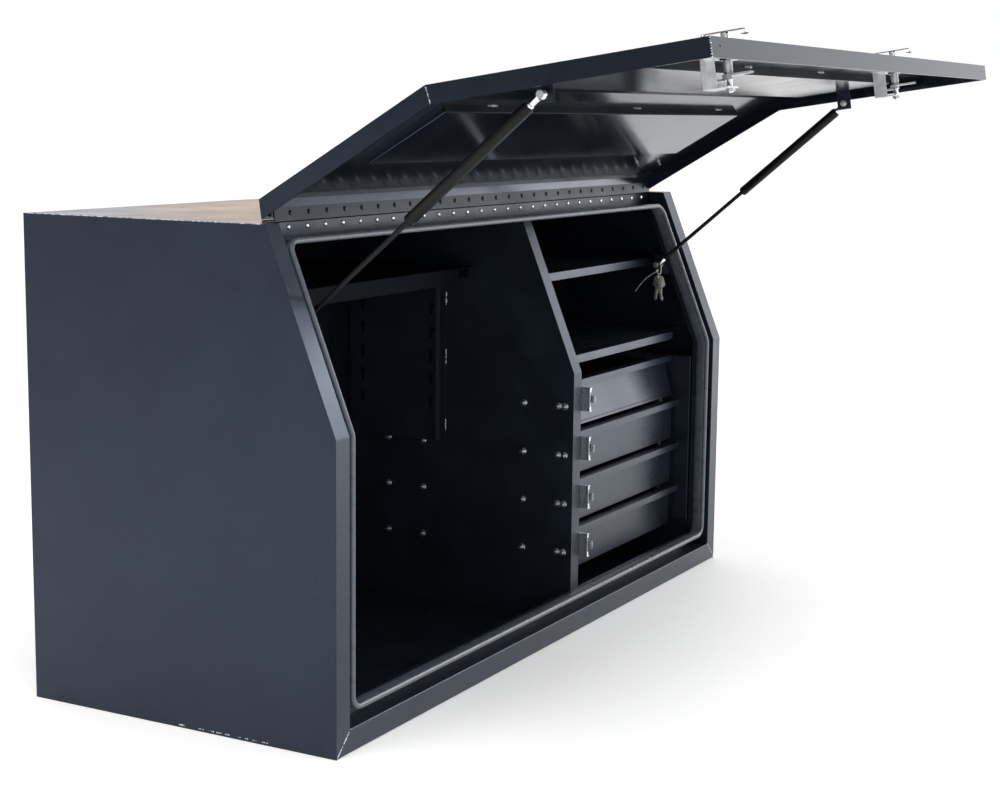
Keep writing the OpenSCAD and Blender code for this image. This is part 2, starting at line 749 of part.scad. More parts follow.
// Strut ends: the lower ball on the box, the upper one on the lid, here in side view
wall_pt = [strut_wall_y, strut_wall_z];
lid_pt = [strut_lid_y, strut_lid_z];
hinge_pt = [hinge_y, hinge_z];
function turned(p, angle) = [p[0] * cos(angle) + p[1] * sin(angle), p[1] * cos(angle) - p[0] * sin(angle)];
lid_pt_open = hinge_pt + turned(lid_pt - hinge_pt, lid_angle);
strut_line = lid_pt_open - wall_pt;
strut_len = norm(strut_line);
strut_shut = norm(lid_pt - wall_pt);
strut_tilt = atan2(strut_line[1], strut_line[0]) - 90;

bracket_t = 3;
bracket_h = 40;
ear_x = lip_x + 2;
lid_ear_x = strut_side + 10;

// Bracket behind the gutter: a foot on the gutter's back and an ear for the ball stud
module wall_bracket() {
    z0 = strut_wall_z - bracket_h / 2;
    z1 = strut_wall_z + bracket_h / 2;
    difference() {
        union() {
            along_x(rim_w, ear_x)
                polygon([[front_y(gutter_d, z0), z0], [front_y(gutter_d, z1), z1],
                    [front_y(gutter_d + bracket_t, z1), z1], [front_y(gutter_d + bracket_t, z0), z0]]);
            along_x(ear_x, ear_x + bracket_t)
                polygon([[front_y(gutter_d, z0), z0], [front_y(gutter_d, z1), z1],
                    [strut_wall_y + 14, z1], [strut_wall_y + 14, z0]]);
        }
        bar_x(ear_x - over, ear_x + bracket_t + over, strut_wall_y, strut_wall_z, stud_r + fit_gap);
    }
}
module strut_wall_brackets() {
    color(inside_black) placed() {
        wall_bracket();
        other_side() wall_bracket();
    }
}

// Stud through the bracket's ear, with a nut on its outer end and the strut's eye on its inner end
socket_half = 6;
module wall_stud() {
    y = strut_wall_y;
    z = strut_wall_z;
    nut_len = 5;
    thread_out = 1;
    shoulder_t = 2;
    clip_t = 1.7;
    clip_x = strut_side + socket_half + pass_gap;
    bar_x(ear_x - nut_len - thread_out, strut_side + socket_r, y, z, stud_r);
    bar_x(ear_x + bracket_t, ear_x + bracket_t + shoulder_t, y, z, stud_r + 2.5);
    translate([ear_x - nut_len, y, z]) rotate([0, 90, 0]) cylinder(h = nut_len, r = 6.5, $fn = 6);
    bar_x(clip_x, clip_x + clip_t, y, z, stud_r + 2);
}
module strut_wall_studs() {
    color(zinc) placed() {
        wall_stud();
        other_side() wall_stud();
    }
}

// Angle on the lid: foot on the skin, ear for the upper ball
module lid_bracket() {
    half = 14;
    foot = 40;
    z0 = strut_lid_z - half;
    z1 = strut_lid_z + half;
    difference() {
        union() {
            block([lid_ear_x, lid_sheet, z0], [lid_ear_x + foot, lid_sheet + bracket_t, z1]);
            block([lid_ear_x, lid_sheet, z0], [lid_ear_x + bracket_t, strut_lid_y + 12, z1]);
        }
        bar_x(lid_ear_x - over, lid_ear_x + bracket_t + over, strut_lid_y, strut_lid_z, stud_r + fit_gap);
    }
}
module strut_lid_brackets() {
    color(inside_black) on_lid() {
        lid_bracket();
        other_side() lid_bracket();
    }
}

// Nut and thread of the upper ball stud, which stay with the bracket
module bracket_nut() {
    bar_x(lid_ear_x + 0.2, lid_ear_x + bracket_t + 9, strut_lid_y, strut_lid_z, stud_r);
    translate([lid_ear_x + bracket_t, strut_lid_y, strut_lid_z]) rotate([0, 90, 0])
        cylinder(h = 5, r = 7, $fn = 6);
}
module strut_bracket_nuts() {
    color(zinc) on_lid() {
        bracket_nut();
        other_side() bracket_nut();
    }
}

// Puts a strut drawn up Z from its lower ball along the line to the upper ball
module on_strut() {
    placed() translate([0, wall_pt[0], wall_pt[1]]) rotate([strut_tilt, 0, 0]) children();
}

// A ball socket with its eye across the strut
module socket(z) {
    translate([strut_side, 0, z]) intersection() {
        sphere(r = socket_r);
        cube([2 * socket_half, 2 * socket_r, 2 * socket_r], center = true);
    }
}

// The rod reaches this far past the cylinder's mouth when the strut is drawn out
rod_hold = 30;
rod_len = strut_len - neck_len - cyl_len + rod_hold;
rod_bore = rod_r + 0.1;
module strut_rod() {
    collar_len = 16;
    difference() {
        union() {
            translate([strut_side, 0, 0]) cylinder(h = rod_len, r = rod_r);
            translate([strut_side, 0, socket_r - 2]) cylinder(h = collar_len, r = rod_r + 1.5);
            socket(0);
        }
        bar_x(strut_side - 10, strut_side + 10, 0, 0, stud_r + fit_gap);
    }
}
module strut_cylinder() {
    mouth = strut_len - neck_len - cyl_len;
    seal_cap = 6;
    cap_gap = 1.6;
    difference() {
        union() {
            translate([strut_side, 0, mouth]) cylinder(h = cyl_len, r = cyl_r);
            translate([strut_side, 0, strut_len - neck_len]) cylinder(h = neck_len - 3, r = rod_r + 1);
            socket(strut_len);
            bar_x(strut_side, lid_ear_x - 0.2, 0, strut_len, stud_r);
            translate([lid_ear_x - 3.2, 0, strut_len]) rotate([0, 90, 0]) cylinder(h = 3, r = 6, $fn = 6);
        }
        translate([strut_side, 0, mouth - over]) cylinder(h = seal_cap + 2 * over, r = rod_bore);
        translate([strut_side, 0, mouth + seal_cap]) cylinder(h = cyl_len - 2 * seal_cap, r = cyl_r - cap_gap);
    }
}
module left_strut_rod() { color(inside_black) on_strut() strut_rod(); }
module right_strut_rod() { color(inside_black) on_strut() other_side() strut_rod(); }
module left_strut_cylinder() { color(inside_black) on_strut() strut_cylinder(); }
module right_strut_cylinder() { color(inside_black) on_strut() other_side() strut_cylinder(); }

// Latches. Depths count from the shut lid's outer face.
barrel_r = 7;
barrel_out = 4;
barrel_in = 26;
plate_half_w = 62;
plate_half_h = 24;
foot_in = 50;
frame_t = 2.5;
spindle_nut_r = 7;

// Puts a latch drawn about its spindle in place on the shut lid
module at_latch(i) { on_lid() translate([latch_x[i], 0, latch_z]) children(); }

// Base plate inside the lid with a bent frame: a tab on the plate, a web that stands on edge beside the
// spindle, and a foot that steadies the spindle's inner end
module latch_body() {
    web_x = -30;
    web_low = 9;
    web_high = 32;
    tab_w = 26;
    foot_w = 42;
    foot_low = -8;
    plate_t = 3;
    difference() {
        union() {
            block([-plate_half_w, lid_sheet, -plate_half_h], [plate_half_w, lid_sheet + plate_t, plate_half_h]);
            block([web_x, lid_sheet, plate_half_h - frame_t], [web_x + tab_w, lid_sheet + plate_t, web_high]);
            block([web_x, lid_sheet, web_low], [web_x + frame_t, foot_in, web_high]);
            block([web_x, foot_in - frame_t, foot_low], [web_x + foot_w, foot_in, web_high]);
        }
        bar_y(0, -over, lid_sheet + plate_t + over, 0, barrel_r + fit_gap);
        bar_y(0, foot_in - frame_t - over, foot_in + over, 0, spindle_r + fit_gap);
    }
}

// Lock barrel through the lid, with a round collar outside
module latch_barrel() {
    collar_r = 15;
    difference() {
        union() {
            bar_y(0, -barrel_out, barrel_in, 0, barrel_r);
            bar_y(0, -barrel_out, 0, 0, collar_r);
        }
        bar_y(0, -barrel_out - over, barrel_in + over, 0, spindle_r + fit_gap);
    }
}

// T-handle with its spindle, which runs through the barrel to the frame's foot
module latch_handle() {
    bar_w = 13;
    stem_r = 6.5;
    curl = 5;
    y1 = -bar_stand;
    intersection() {
        block([-bar_w / 2, y1 - bar_t, -bar_len / 2], [bar_w / 2, y1 + curl, bar_len / 2]);
        union() {
            block([-bar_w / 2, y1 - bar_t, -bar_len / 2], [bar_w / 2, y1, bar_len / 2]);
            for (end = [-1, 1])
                bar_x(-bar_w / 2, bar_w / 2, y1 - bar_t + curl, end * (bar_len / 2 - curl), curl);
        }
    }
    bar_y(0, y1, -barrel_out - pass_gap, 0, stem_r);
    bar_y(0, y1, foot_in + 6, 0, spindle_r);
}

// Cranked lever between two nuts on the spindle
module latch_lever() {
    lever_w = 15;
    lever_t = 3;
    low_y = barrel_in + 3;
    high_y = low_y + 6;
    step = 8;
    top = 23;
    difference() {
        union() {
            block([-lever_w / 2, low_y, -lever_reach], [lever_w / 2, low_y + lever_t, step]);
            block([-lever_w / 2, low_y, step - lever_t], [lever_w / 2, high_y + lever_t, step]);
            block([-lever_w / 2, high_y, step - lever_t], [lever_w / 2, high_y + lever_t, top]);
        }
        bar_y(0, low_y - over, low_y + lever_t + over, 0, spindle_r + fit_gap);
    }
    for (nut = [[barrel_in + pass_gap, 2.6], [low_y + lever_t + fit_gap, 5], [foot_in + pass_gap, 4]])
        difference() {
            translate([0, nut[0], 0]) rotate([-90, 0, 0]) cylinder(h = nut[1], r = spindle_nut_r, $fn = 6);
            bar_y(0, nut[0] - over, nut[0] + nut[1] + over, 0, spindle_r + fit_gap);
        }
}
module left_latch_body() { color(zinc) at_latch(0) latch_body(); }
module right_latch_body() { color(zinc) at_latch(1) latch_body(); }
module left_latch_barrel() { color(zinc) at_latch(0) latch_barrel(); }
module right_latch_barrel() { color(zinc) at_latch(1) latch_barrel(); }
module left_latch_handle() { color(zinc) at_latch(0) latch_handle(); }
module right_latch_handle() { color(zinc) at_latch(1) latch_handle(); }
module left_latch_lever() { color(zinc) at_latch(0) latch_lever(); }
module right_latch_lever() { color(zinc) at_latch(1) latch_lever(); }

// Keys tied to the right strut's lower stud, midway between its bracket and the strut's eye
tie_x = box_w - (ear_x + bracket_t + strut_side - socket_half) / 2;
module key_tie() {
    tie_w = 3;
    tie_t = 1.2;
    drop = 16;
    inner = stud_r + pass_gap;
    outer = inner + tie_t;
    tail = 56;
    tail_drop = 46;
    color("white") placed() translate([tie_x - tie_w / 2, strut_wall_y, strut_wall_z])
        rotate([90, 0, 90]) linear_extrude(tie_w) {
            difference() {
                polygon([[-outer, -drop], [-outer / 2, -drop - outer], [outer / 2, -drop - outer],
                    [outer, -drop - tie_t], [tail, -drop - tail_drop], [tail, -drop - tail_drop + tie_t],
                    [outer, -drop + tie_t], [outer, inner / 2], [outer / 2, outer], [-outer / 2, outer],
                    [-outer, inner / 2]]);
                polygon([[-inner, -drop], [-inner / 2, -drop - inner], [inner / 2, -drop - inner], [inner, -drop],
                    [inner, inner / 2], [inner / 2, inner], [-inner / 2, inner], [-inner, inner / 2]]);
            }
        }
}

// Small wire ring that joins the tie's loop to the keys
module key_ring() {
    ring_r = 5;
    wire_r = 0.9;
    drop = 24;
    color(zinc) placed() translate([tie_x, strut_wall_y, strut_wall_z - drop]) rotate([90, 0, 0])
        rotate_extrude() translate([ring_r, 0]) circle(r = wire_r);
}

// Two plain keys side by side, their bows on the ring
module keys() {
    key_t = 2;
    hole_r = 3.5;
    drop = 30.6;
    blade_w = 9;
    color(zinc) placed() for (side = [0, 1])
        translate([tie_x - key_t - 0.1 + side * (key_t + 0.2), strut_wall_y, strut_wall_z - drop])
            rotate([side * 14 - 7, 0, 0]) rotate([90, 0, 90]) linear_extrude(key_t) difference() {
                union() {
                    translate([0, -key_bow_r + hole_r + 1]) circle(r = key_bow_r);
                    translate([-blade_w / 2, -key_h + hole_r]) square([blade_w, key_h - key_bow_r]);
                }
                circle(r = hole_r);
            }
}

left_side_panel();
right_side_panel();
top_panel();
back_panel();
floor_panel();
left_gutter();
right_gutter();
sill_gutter();
header();
door_seal();
divider_panel();
upper_shelf();
lower_shelf();
left_shelf();
left_shelf_brackets();
keyhole_board();
drawer_side_panel();
slide_packers();
slide_outer_members();
slide_bolts();
slide_nuts();
body_hinge_leaf();
hinge_pin();
body_hinge_rivets();
strut_wall_brackets();
strut_wall_studs();
lid_skin();
upper_lid_pan();
lower_lid_pan();
lid_hinge_leaf();
lid_hinge_rivets();
strut_lid_brackets();
strut_bracket_nuts();
left_latch_body();
right_latch_body();
left_latch_barrel();
right_latch_barrel();
left_strut_rod();
right_strut_rod();
left_strut_cylinder();
right_strut_cylinder();
left_latch_handle();
right_latch_handle();
left_latch_lever();
right_latch_lever();
drawer(1);  // drawer_1
drawer(2);  // drawer_2
drawer(3);  // drawer_3
drawer(4);  // drawer_4
drawer_runners(1);  // drawer_1_runners
drawer_runners(2);  // drawer_2_runners
drawer_runners(3);  // drawer_3_runners
drawer_runners(4);  // drawer_4_runners
slide_middle(1);  // slide_middle_1
slide_middle(2);  // slide_middle_2
slide_middle(3);  // slide_middle_3
slide_middle(4);  // slide_middle_4
key_tie();
key_ring();
keys();
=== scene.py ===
"""Looks of the aluminium toolbox: powder-coated sheet, seal, struts, latches, drawers and fasteners,
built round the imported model. Sizes are in millimetres in the box's own frame, with X from the left
side, Y from the front and Z from the floor, and the lid is drawn shut and then turned open."""

import math

import bmesh
import bpy
from mathutils import Matrix, Vector


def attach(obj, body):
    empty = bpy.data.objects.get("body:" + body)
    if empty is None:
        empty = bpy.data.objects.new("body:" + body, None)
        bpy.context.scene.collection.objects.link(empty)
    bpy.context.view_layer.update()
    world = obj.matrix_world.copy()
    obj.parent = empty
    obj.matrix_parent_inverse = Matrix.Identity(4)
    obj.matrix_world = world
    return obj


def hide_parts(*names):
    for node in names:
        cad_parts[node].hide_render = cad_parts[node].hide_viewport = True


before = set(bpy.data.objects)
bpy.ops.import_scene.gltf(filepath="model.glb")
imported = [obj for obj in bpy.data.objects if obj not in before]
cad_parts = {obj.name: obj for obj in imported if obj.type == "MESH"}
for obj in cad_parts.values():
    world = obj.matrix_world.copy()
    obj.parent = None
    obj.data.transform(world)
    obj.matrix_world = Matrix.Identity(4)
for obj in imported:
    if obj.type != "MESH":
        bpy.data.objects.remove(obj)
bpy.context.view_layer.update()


# Shell of the box: side panels, top, back and floor, folded from 2.5 mm aluminium sheet, welded at
# the corners and powder coated. The rim round the opening is folded from the sides and the floor.
BOX_W, BOX_D, BOX_H = 1500, 600, 805
KNEE, LEAN_RUN, RIM, SHEET = 492, 126, 38, 2.5
LEAN = math.atan(LEAN_RUN / (BOX_H - KNEE))
box_place = Matrix.Translation((-BOX_W / 2000, -BOX_D / 2000, 0)) @ Matrix.Scale(0.001, 4)


def linear(hex_colour):
    """An sRGB hex colour as linear RGBA."""
    parts = [int(hex_colour[i:i + 2], 16) / 255 for i in (1, 3, 5)]
    return tuple(v / 12.92 if v <= 0.04045 else ((v + 0.055) / 1.055) ** 2.4 for v in parts) + (1.0,)


def add(tree, kind, values=None, links=None, **settings):
    """Adds a node to a tree, with its settings, its socket values and the links into its sockets."""
    made = tree.nodes.new(kind)
    for name, value in settings.items():
        setattr(made, name, value)
    for socket, value in (values or {}).items():
        made.inputs[socket].default_value = value
    for socket, (source, output) in (links or {}).items():
        tree.links.new(source.outputs[output], made.inputs[socket])
    return made


def material(name, slot, **constants):
    """A new material with a Principled shader. Its slot argument is not used."""
    made = bpy.data.materials.new(name)
    made.use_nodes = True
    shader = made.node_tree.nodes["Principled BSDF"]
    for socket, value in constants.items():
        shader.inputs[socket.replace("_", " ")].default_value = value
    return made, made.node_tree, shader


def powder_coat(name, slot, deep, worn, smooth, rough, gloss, peel):
    """Satin polyester powder coat on aluminium. Orange peel has cells of about 1.5 mm, drawn at 4 mm
    so that it shows. Wiping and handling leave cloudy patches some 110 mm wide in the tone and the
    gloss, and small pale specks of dust lie some 20 mm apart."""
    # Painted reflection colour: the coat's reflections are tinted a cool blue to give them a blue cast.
    made, tree, shader = material(name, slot, Specular_IOR_Level=gloss, Specular_Tint=linear("#c6dcff"))
    place = add(tree, "ShaderNodeTexCoord")
    cloud = add(tree, "ShaderNodeTexNoise", {"Scale": 9.0, "Detail": 5.0, "Roughness": 0.6},
                {"Vector": (place, "Object")})
    grain = add(tree, "ShaderNodeTexNoise", {"Scale": 260.0, "Detail": 2.0, "Roughness": 0.5},
                {"Vector": (place, "Object")})
    speck = add(tree, "ShaderNodeTexVoronoi", {"Scale": 45.0}, {"Vector": (place, "Object")})
    dust = add(tree, "ShaderNodeMapRange", {1: 0.0, 2: 0.035, 3: 1.0, 4: 0.0}, {0: (speck, "Distance")})
    tone = add(tree, "ShaderNodeMapRange", {1: 0.35, 2: 0.7, 3: 0.0, 4: 1.0}, {0: (cloud, "Fac")})
    colour = add(tree, "ShaderNodeMix", {6: linear(deep), 7: linear(worn)}, {0: (tone, 0)},
                 data_type="RGBA")
    dusty = add(tree, "ShaderNodeMix", {7: linear("#7d828a")}, {6: (colour, 2)}, data_type="RGBA")
    faint = add(tree, "ShaderNodeMath", {1: 0.25}, {0: (dust, 0)}, operation="MULTIPLY")
    tree.links.new(faint.outputs[0], dusty.inputs[0])
    dull = add(tree, "ShaderNodeMapRange", {1: 0.3, 2: 0.75, 3: smooth, 4: rough}, {0: (cloud, "Fac")})
    bump = add(tree, "ShaderNodeBump", {"Strength": peel, "Distance": 0.0006}, {"Height": (grain, "Fac")})
    tree.links.new(dusty.outputs[2], shader.inputs["Base Color"])
    tree.links.new(dull.outputs[0], shader.inputs["Roughness"])
    tree.links.new(bump.outputs[0], shader.inputs["Normal"])
    return made


# Outside the coat is dark blue-grey charcoal with a soft sheen, and its reflections get a painted blue
# cast.
# Inside the same coat is duller and painted a shade paler, painted light that lifts the bay's shade, which
# still makes it nearly black.
charcoal = powder_coat("charcoal_powder_coat", "charcoal_panel", "#161b22", "#1e242d",
                       smooth=0.25, rough=0.36, gloss=0.5, peel=0.12)
# Painted light: the inside copy's tones are paler than the outside's, to lift the shaded bay.
inside = powder_coat("inside_coat_painted_paler", "black_inside", "#1a2028", "#232b34",
                     smooth=0.33, rough=0.47, gloss=0.42, peel=0.15)


def keep(name, data, finish, body, nodes=()):
    """Makes a finished mesh a piece: its finish, the body it rides on and the CAD nodes it shows."""
    piece = bpy.data.objects.new(name, data)
    bpy.context.scene.collection.objects.link(piece)
    data.materials.clear()
    data.materials.append(finish)
    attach(piece, body)
    if nodes:
        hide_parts(*nodes)
    return piece


def settled(piece):
    """The mesh of an object with its modifiers applied. The object itself is removed."""
    graph = bpy.context.evaluated_depsgraph_get()
    data = bpy.data.meshes.new_from_object(piece.evaluated_get(graph))
    bpy.data.objects.remove(piece)
    return data


# Measures for rounding the sheet, in metres and radians. A face narrower than a cut edge's width
# counts as a cut edge, whose corners are only broken, and every other corner is a fold.
SAME_POINT, CUT_EDGE_WIDTH = 2e-6, 0.0045
FLAT, CORNER = math.radians(0.4), math.radians(14)


def folded(node, body, finish, fold=2.6, cut=0.35):
    """A CAD node of sheet metal with its folds rounded and its cut edges broken."""
    mesh = bmesh.new()
    mesh.from_mesh(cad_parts[node].data)
    bmesh.ops.remove_doubles(mesh, verts=mesh.verts, dist=SAME_POINT)
    bmesh.ops.dissolve_limit(mesh, angle_limit=FLAT, verts=mesh.verts, edges=mesh.edges)
    weight = mesh.edges.layers.float.new("bevel_weight_edge")
    for edge in mesh.edges:
        if len(edge.link_faces) == 2 and edge.calc_face_angle(0) > CORNER:
            spans = [f.calc_area() / max(e.calc_length() for e in f.edges) for f in edge.link_faces]
            edge[weight] = 1.0 if min(spans) > CUT_EDGE_WIDTH else cut / fold
    data = bpy.data.meshes.new(node + "_sheet")
    mesh.to_mesh(data)
    mesh.free()
    piece = bpy.data.objects.new(node + "_sheet", data)
    bpy.context.scene.collection.objects.link(piece)
    edges = piece.modifiers.new("Edges", "BEVEL")
    edges.limit_method = "WEIGHT"
    edges.width = fold / 1000
    edges.segments = 3
    flats = piece.modifiers.new("Flats", "WEIGHTED_NORMAL")
    flats.weight = 100
    data.shade_smooth()
    return keep(node + "_sheet", settled(piece), finish, body, [node])


for node in ["left_side_panel", "right_side_panel"]:
    folded(node, "box", charcoal, fold=4.5)
for node in ["top_panel", "floor_panel"]:
    folded(node, "box", charcoal)
folded("back_panel", "box", charcoal, fold=0.8)


# Rain gutter round the opening: a channel behind the rim whose inner lip carries the seal, and the
# header behind the hinge. They are folded strips, welded in before coating.
for node in ["left_gutter", "right_gutter", "sill_gutter", "header"]:
    folded(node, "box", charcoal, fold=1.4)


# Welds: ripples of small flattened drops laid along a seam. The coat stays thin on them and they are
# brushed afterwards, so the crests show pale metal.
def start_tree(name, sockets):
    """A Geometry Nodes tree with a geometry input and output and the named inputs."""
    tree = bpy.data.node_groups.new(name, "GeometryNodeTree")
    tree.interface.new_socket("Geometry", in_out="INPUT", socket_type="NodeSocketGeometry")
    for label, kind in sockets:
        tree.interface.new_socket(label, in_out="INPUT", socket_type="NodeSocket" + kind)
    tree.interface.new_socket("Geometry", in_out="OUTPUT", socket_type="NodeSocketGeometry")
    return tree, add(tree, "NodeGroupInput")


def end_tree(tree, source, geometry):
    """Ends a tree: instances are made real and get the finish."""
    real = add(tree, "GeometryNodeRealizeInstances", links={"Geometry": (geometry, 0)})
    smooth = add(tree, "GeometryNodeSetShadeSmooth", links={"Geometry": (real, 0)})
    painted = add(tree, "GeometryNodeSetMaterial",
                  links={"Geometry": (smooth, 0), "Material": (source, "Finish")})
    add(tree, "NodeGroupOutput", links={"Geometry": (painted, 0)})


def grown(name, tree, points, chains, inputs, finish, body, nodes=()):
    """Runs a tree on points, joined in order within each chain, and keeps the plain mesh."""
    data = bpy.data.meshes.new(name)
    data.from_pydata([tuple(p) for p in points], chains, [])
    carrier = bpy.data.objects.new(name + "_carrier", data)
    bpy.context.scene.collection.objects.link(carrier)
    modifier = carrier.modifiers.new("Grow", "NODES")
    modifier.node_group = tree
    inputs = {**inputs, "Finish": finish}
    for item in tree.interface.items_tree:
        if item.in_out == "INPUT" and item.name in inputs:
            modifier[item.identifier] = inputs[item.name]
    data = settled(carrier)
    data.set_sharp_from_angle(angle=math.radians(40))
    keep(name, data, finish, body, nodes)


DROP_LEAST, DROP_MOST = (0.7, 0.75, 0.6), (1.1, 1.2, 1.05)
weld_tree, source = start_tree("weld_ripples", [("Pitch", "Float"), ("Bead", "Float"), ("Seed", "Int"),
                                                ("Finish", "Material")])
seam = add(weld_tree, "GeometryNodeMeshToCurve", links={"Mesh": (source, "Geometry")})
steps = add(weld_tree, "GeometryNodeResampleCurve",
            links={"Curve": (seam, 0), "Length": (source, "Pitch")}, mode="LENGTH")
along = add(weld_tree, "GeometryNodeInputTangent")
turned = add(weld_tree, "FunctionNodeAlignRotationToVector", links={"Vector": (along, 0)}, axis="X")
drop = add(weld_tree, "GeometryNodeMeshUVSphere", {"Segments": 8, "Rings": 5, "Radius": 1.0})
uneven = add(weld_tree, "FunctionNodeRandomValue", {0: DROP_LEAST, 1: DROP_MOST},
             {"Seed": (source, "Seed")}, data_type="FLOAT_VECTOR")
sized = add(weld_tree, "ShaderNodeVectorMath", links={0: (uneven, 0), "Scale": (source, "Bead")},
            operation="SCALE")
laid = add(weld_tree, "GeometryNodeInstanceOnPoints",
           links={"Points": (steps, 0), "Instance": (drop, 0), "Rotation": (turned, 0),
                  "Scale": (sized, 0)})
end_tree(weld_tree, source, laid)

# The brush bares patches about 5 mm wide, pale and satin, between stretches that keep the coat.
brushed_weld, tree, shader = material("brushed_weld", "charcoal_panel", Specular_IOR_Level=0.5)
place = add(tree, "ShaderNodeTexCoord")
patch = add(tree, "ShaderNodeTexNoise", {"Scale": 190.0, "Detail": 3.0}, {"Vector": (place, "Object")})
bare = add(tree, "ShaderNodeMapRange", {1: 0.4, 2: 0.54, 3: 0.0, 4: 1.0}, {0: (patch, "Fac")})
colour = add(tree, "ShaderNodeMix", {6: linear("#2a2f36"), 7: linear("#e6e9ee")}, {0: (bare, 0)},
             data_type="RGBA")
tree.links.new(colour.outputs[2], shader.inputs["Base Color"])
shine = add(tree, "ShaderNodeMapRange", {1: 0.0, 2: 1.0, 3: 0.34, 4: 0.5}, {0: (bare, 0)})
tree.links.new(shine.outputs[0], shader.inputs["Roughness"])


def weld(name, runs, place, body, bead=1.2, pitch=2.0, seed=1):
    """Welds along runs of points. place turns the points from millimetres into the frame."""
    points, chains = [], []
    for run in runs:
        chains += [(len(points) + i, len(points) + i + 1) for i in range(len(run) - 1)]
        points += [place @ Vector(p) for p in run]
    sizes = {"Pitch": pitch / 1000, "Bead": bead / 1000, "Seed": seed}
    grown(name, weld_tree, points, chains, sizes, brushed_weld, body)


# The top's side seams run from its front edge to the back. The floor's edge is stitched to each side with
# dashes, and the rim's mitres are closed at the two lower corners.
EDGE_Z = BOX_H - 0.4
FLOOR_EDGE_Z, DASH = 4.2, 9
DASH_STARTS = (128, 146, 163, 180, 199, 216, 232, 252, 290)
weld("corner_welds", [[(x, LEAN_RUN + 8, EDGE_Z), (x, BOX_D - 6, EDGE_Z)] for x in (0.5, BOX_W - 0.5)],
     box_place, "box", bead=0.9, seed=3)
weld("floor_edge_welds",
     [[(x, y, FLOOR_EDGE_Z), (x, y + DASH, FLOOR_EDGE_Z)] for x in (0.1, BOX_W - 0.1) for y in DASH_STARTS],
     box_place, "box", bead=1.3, pitch=2.4, seed=9)
weld("sill_mitre_welds",
     [[(x0, 0, SHEET), (x1, 0, RIM)] for x0, x1 in ((SHEET, RIM), (BOX_W - SHEET, BOX_W - RIM))],
     box_place, "box", bead=1.2, pitch=1.6, seed=5)


# Door seal: grey-black EPDM with a hollow bulb and a steel-cored grip that is pressed over the lip all
# round the opening. It is one length, bent round the corners, and its smooth skin shines along the
# crown, a sheen that is partly painted in by giving the rubber mid-grey tones far paler than its
# grey-black.
# The skin's patches are some 17 mm wide, and its grit is drawn at 2 mm so that it shows.
LIP_X, LIP_DEPTH, SILL_LIP_Z, HEADER_LIP_Z = 55.75, 12, 63.25, 776.75
BULB_R, BULB_HALF_W, BULB_SIDES, GRIP_END = 4.6, 5.0, 20, 29
CORNER_R, CORNER_STEPS, LEVEL_STEPS = 22.0, 10, 20
KNEE_R, KNEE_STEPS = 40.0, 6
BEND = KNEE_R * math.tan(LEAN / 2)
BEND_START = KNEE - BEND
BEND_END = BEND_START + KNEE_R * LEAN
seal_rubber, tree, shader = material("epdm_rubber", "seal_rubber", Specular_IOR_Level=0.5)
place = add(tree, "ShaderNodeTexCoord")
skin = add(tree, "ShaderNodeTexNoise", {"Scale": 60.0, "Detail": 4.0}, {"Vector": (place, "Object")})
grit = add(tree, "ShaderNodeTexNoise", {"Scale": 500.0, "Detail": 2.0}, {"Vector": (place, "Object")})
# Painted sheen: both tones are far paler than the grey-black rubber, to stand in for its shine.
colour = add(tree, "ShaderNodeMix", {6: linear("#454c56"), 7: linear("#626a75")}, {0: (skin, "Fac")},
             data_type="RGBA")
tree.links.new(colour.outputs[2], shader.inputs["Base Color"])
sheen = add(tree, "ShaderNodeMapRange", {1: 0.3, 2: 0.7, 3: 0.24, 4: 0.4}, {0: (skin, "Fac")})
tree.links.new(sheen.outputs[0], shader.inputs["Roughness"])
bump = add(tree, "ShaderNodeBump", {"Strength": 0.2, "Distance": 0.0003}, {"Height": (grit, "Fac")})
tree.links.new(bump.outputs[0], shader.inputs["Normal"])


def seal_point(x, s, n_x, n_s, u, v):
    """A point of the seal in millimetres: (x, s) on the lip's line, with s measured up the cranked
    front, u outwards from the opening along (n_x, n_s), and v into the box. The header's lip is
    level, so the front's lean fades out round the upper corners."""
    if s < BEND_START:
        y, z, turn = 0.0, s, 0.0
    elif s < BEND_END:
        turn = (s - BEND_START) / KNEE_R
        y, z = KNEE_R * (1 - math.cos(turn)), BEND_START + KNEE_R * math.sin(turn)
    else:
        turn = LEAN
        y = (BEND + s - BEND_END) * math.sin(LEAN)
        z = KNEE + (BEND + s - BEND_END) * math.cos(LEAN)
    y, z = y + LIP_DEPTH * math.cos(turn), z - LIP_DEPTH * math.sin(turn)
    turn *= 1 - max(0.0, n_s)
    inwards = Vector((0, math.cos(turn), -math.sin(turn)))
    upwards = Vector((0, math.sin(turn), math.cos(turn)))
    return Vector((x, y, z)) + u * (n_x * Vector((1, 0, 0)) + n_s * upwards) + (v - LIP_DEPTH) * inwards


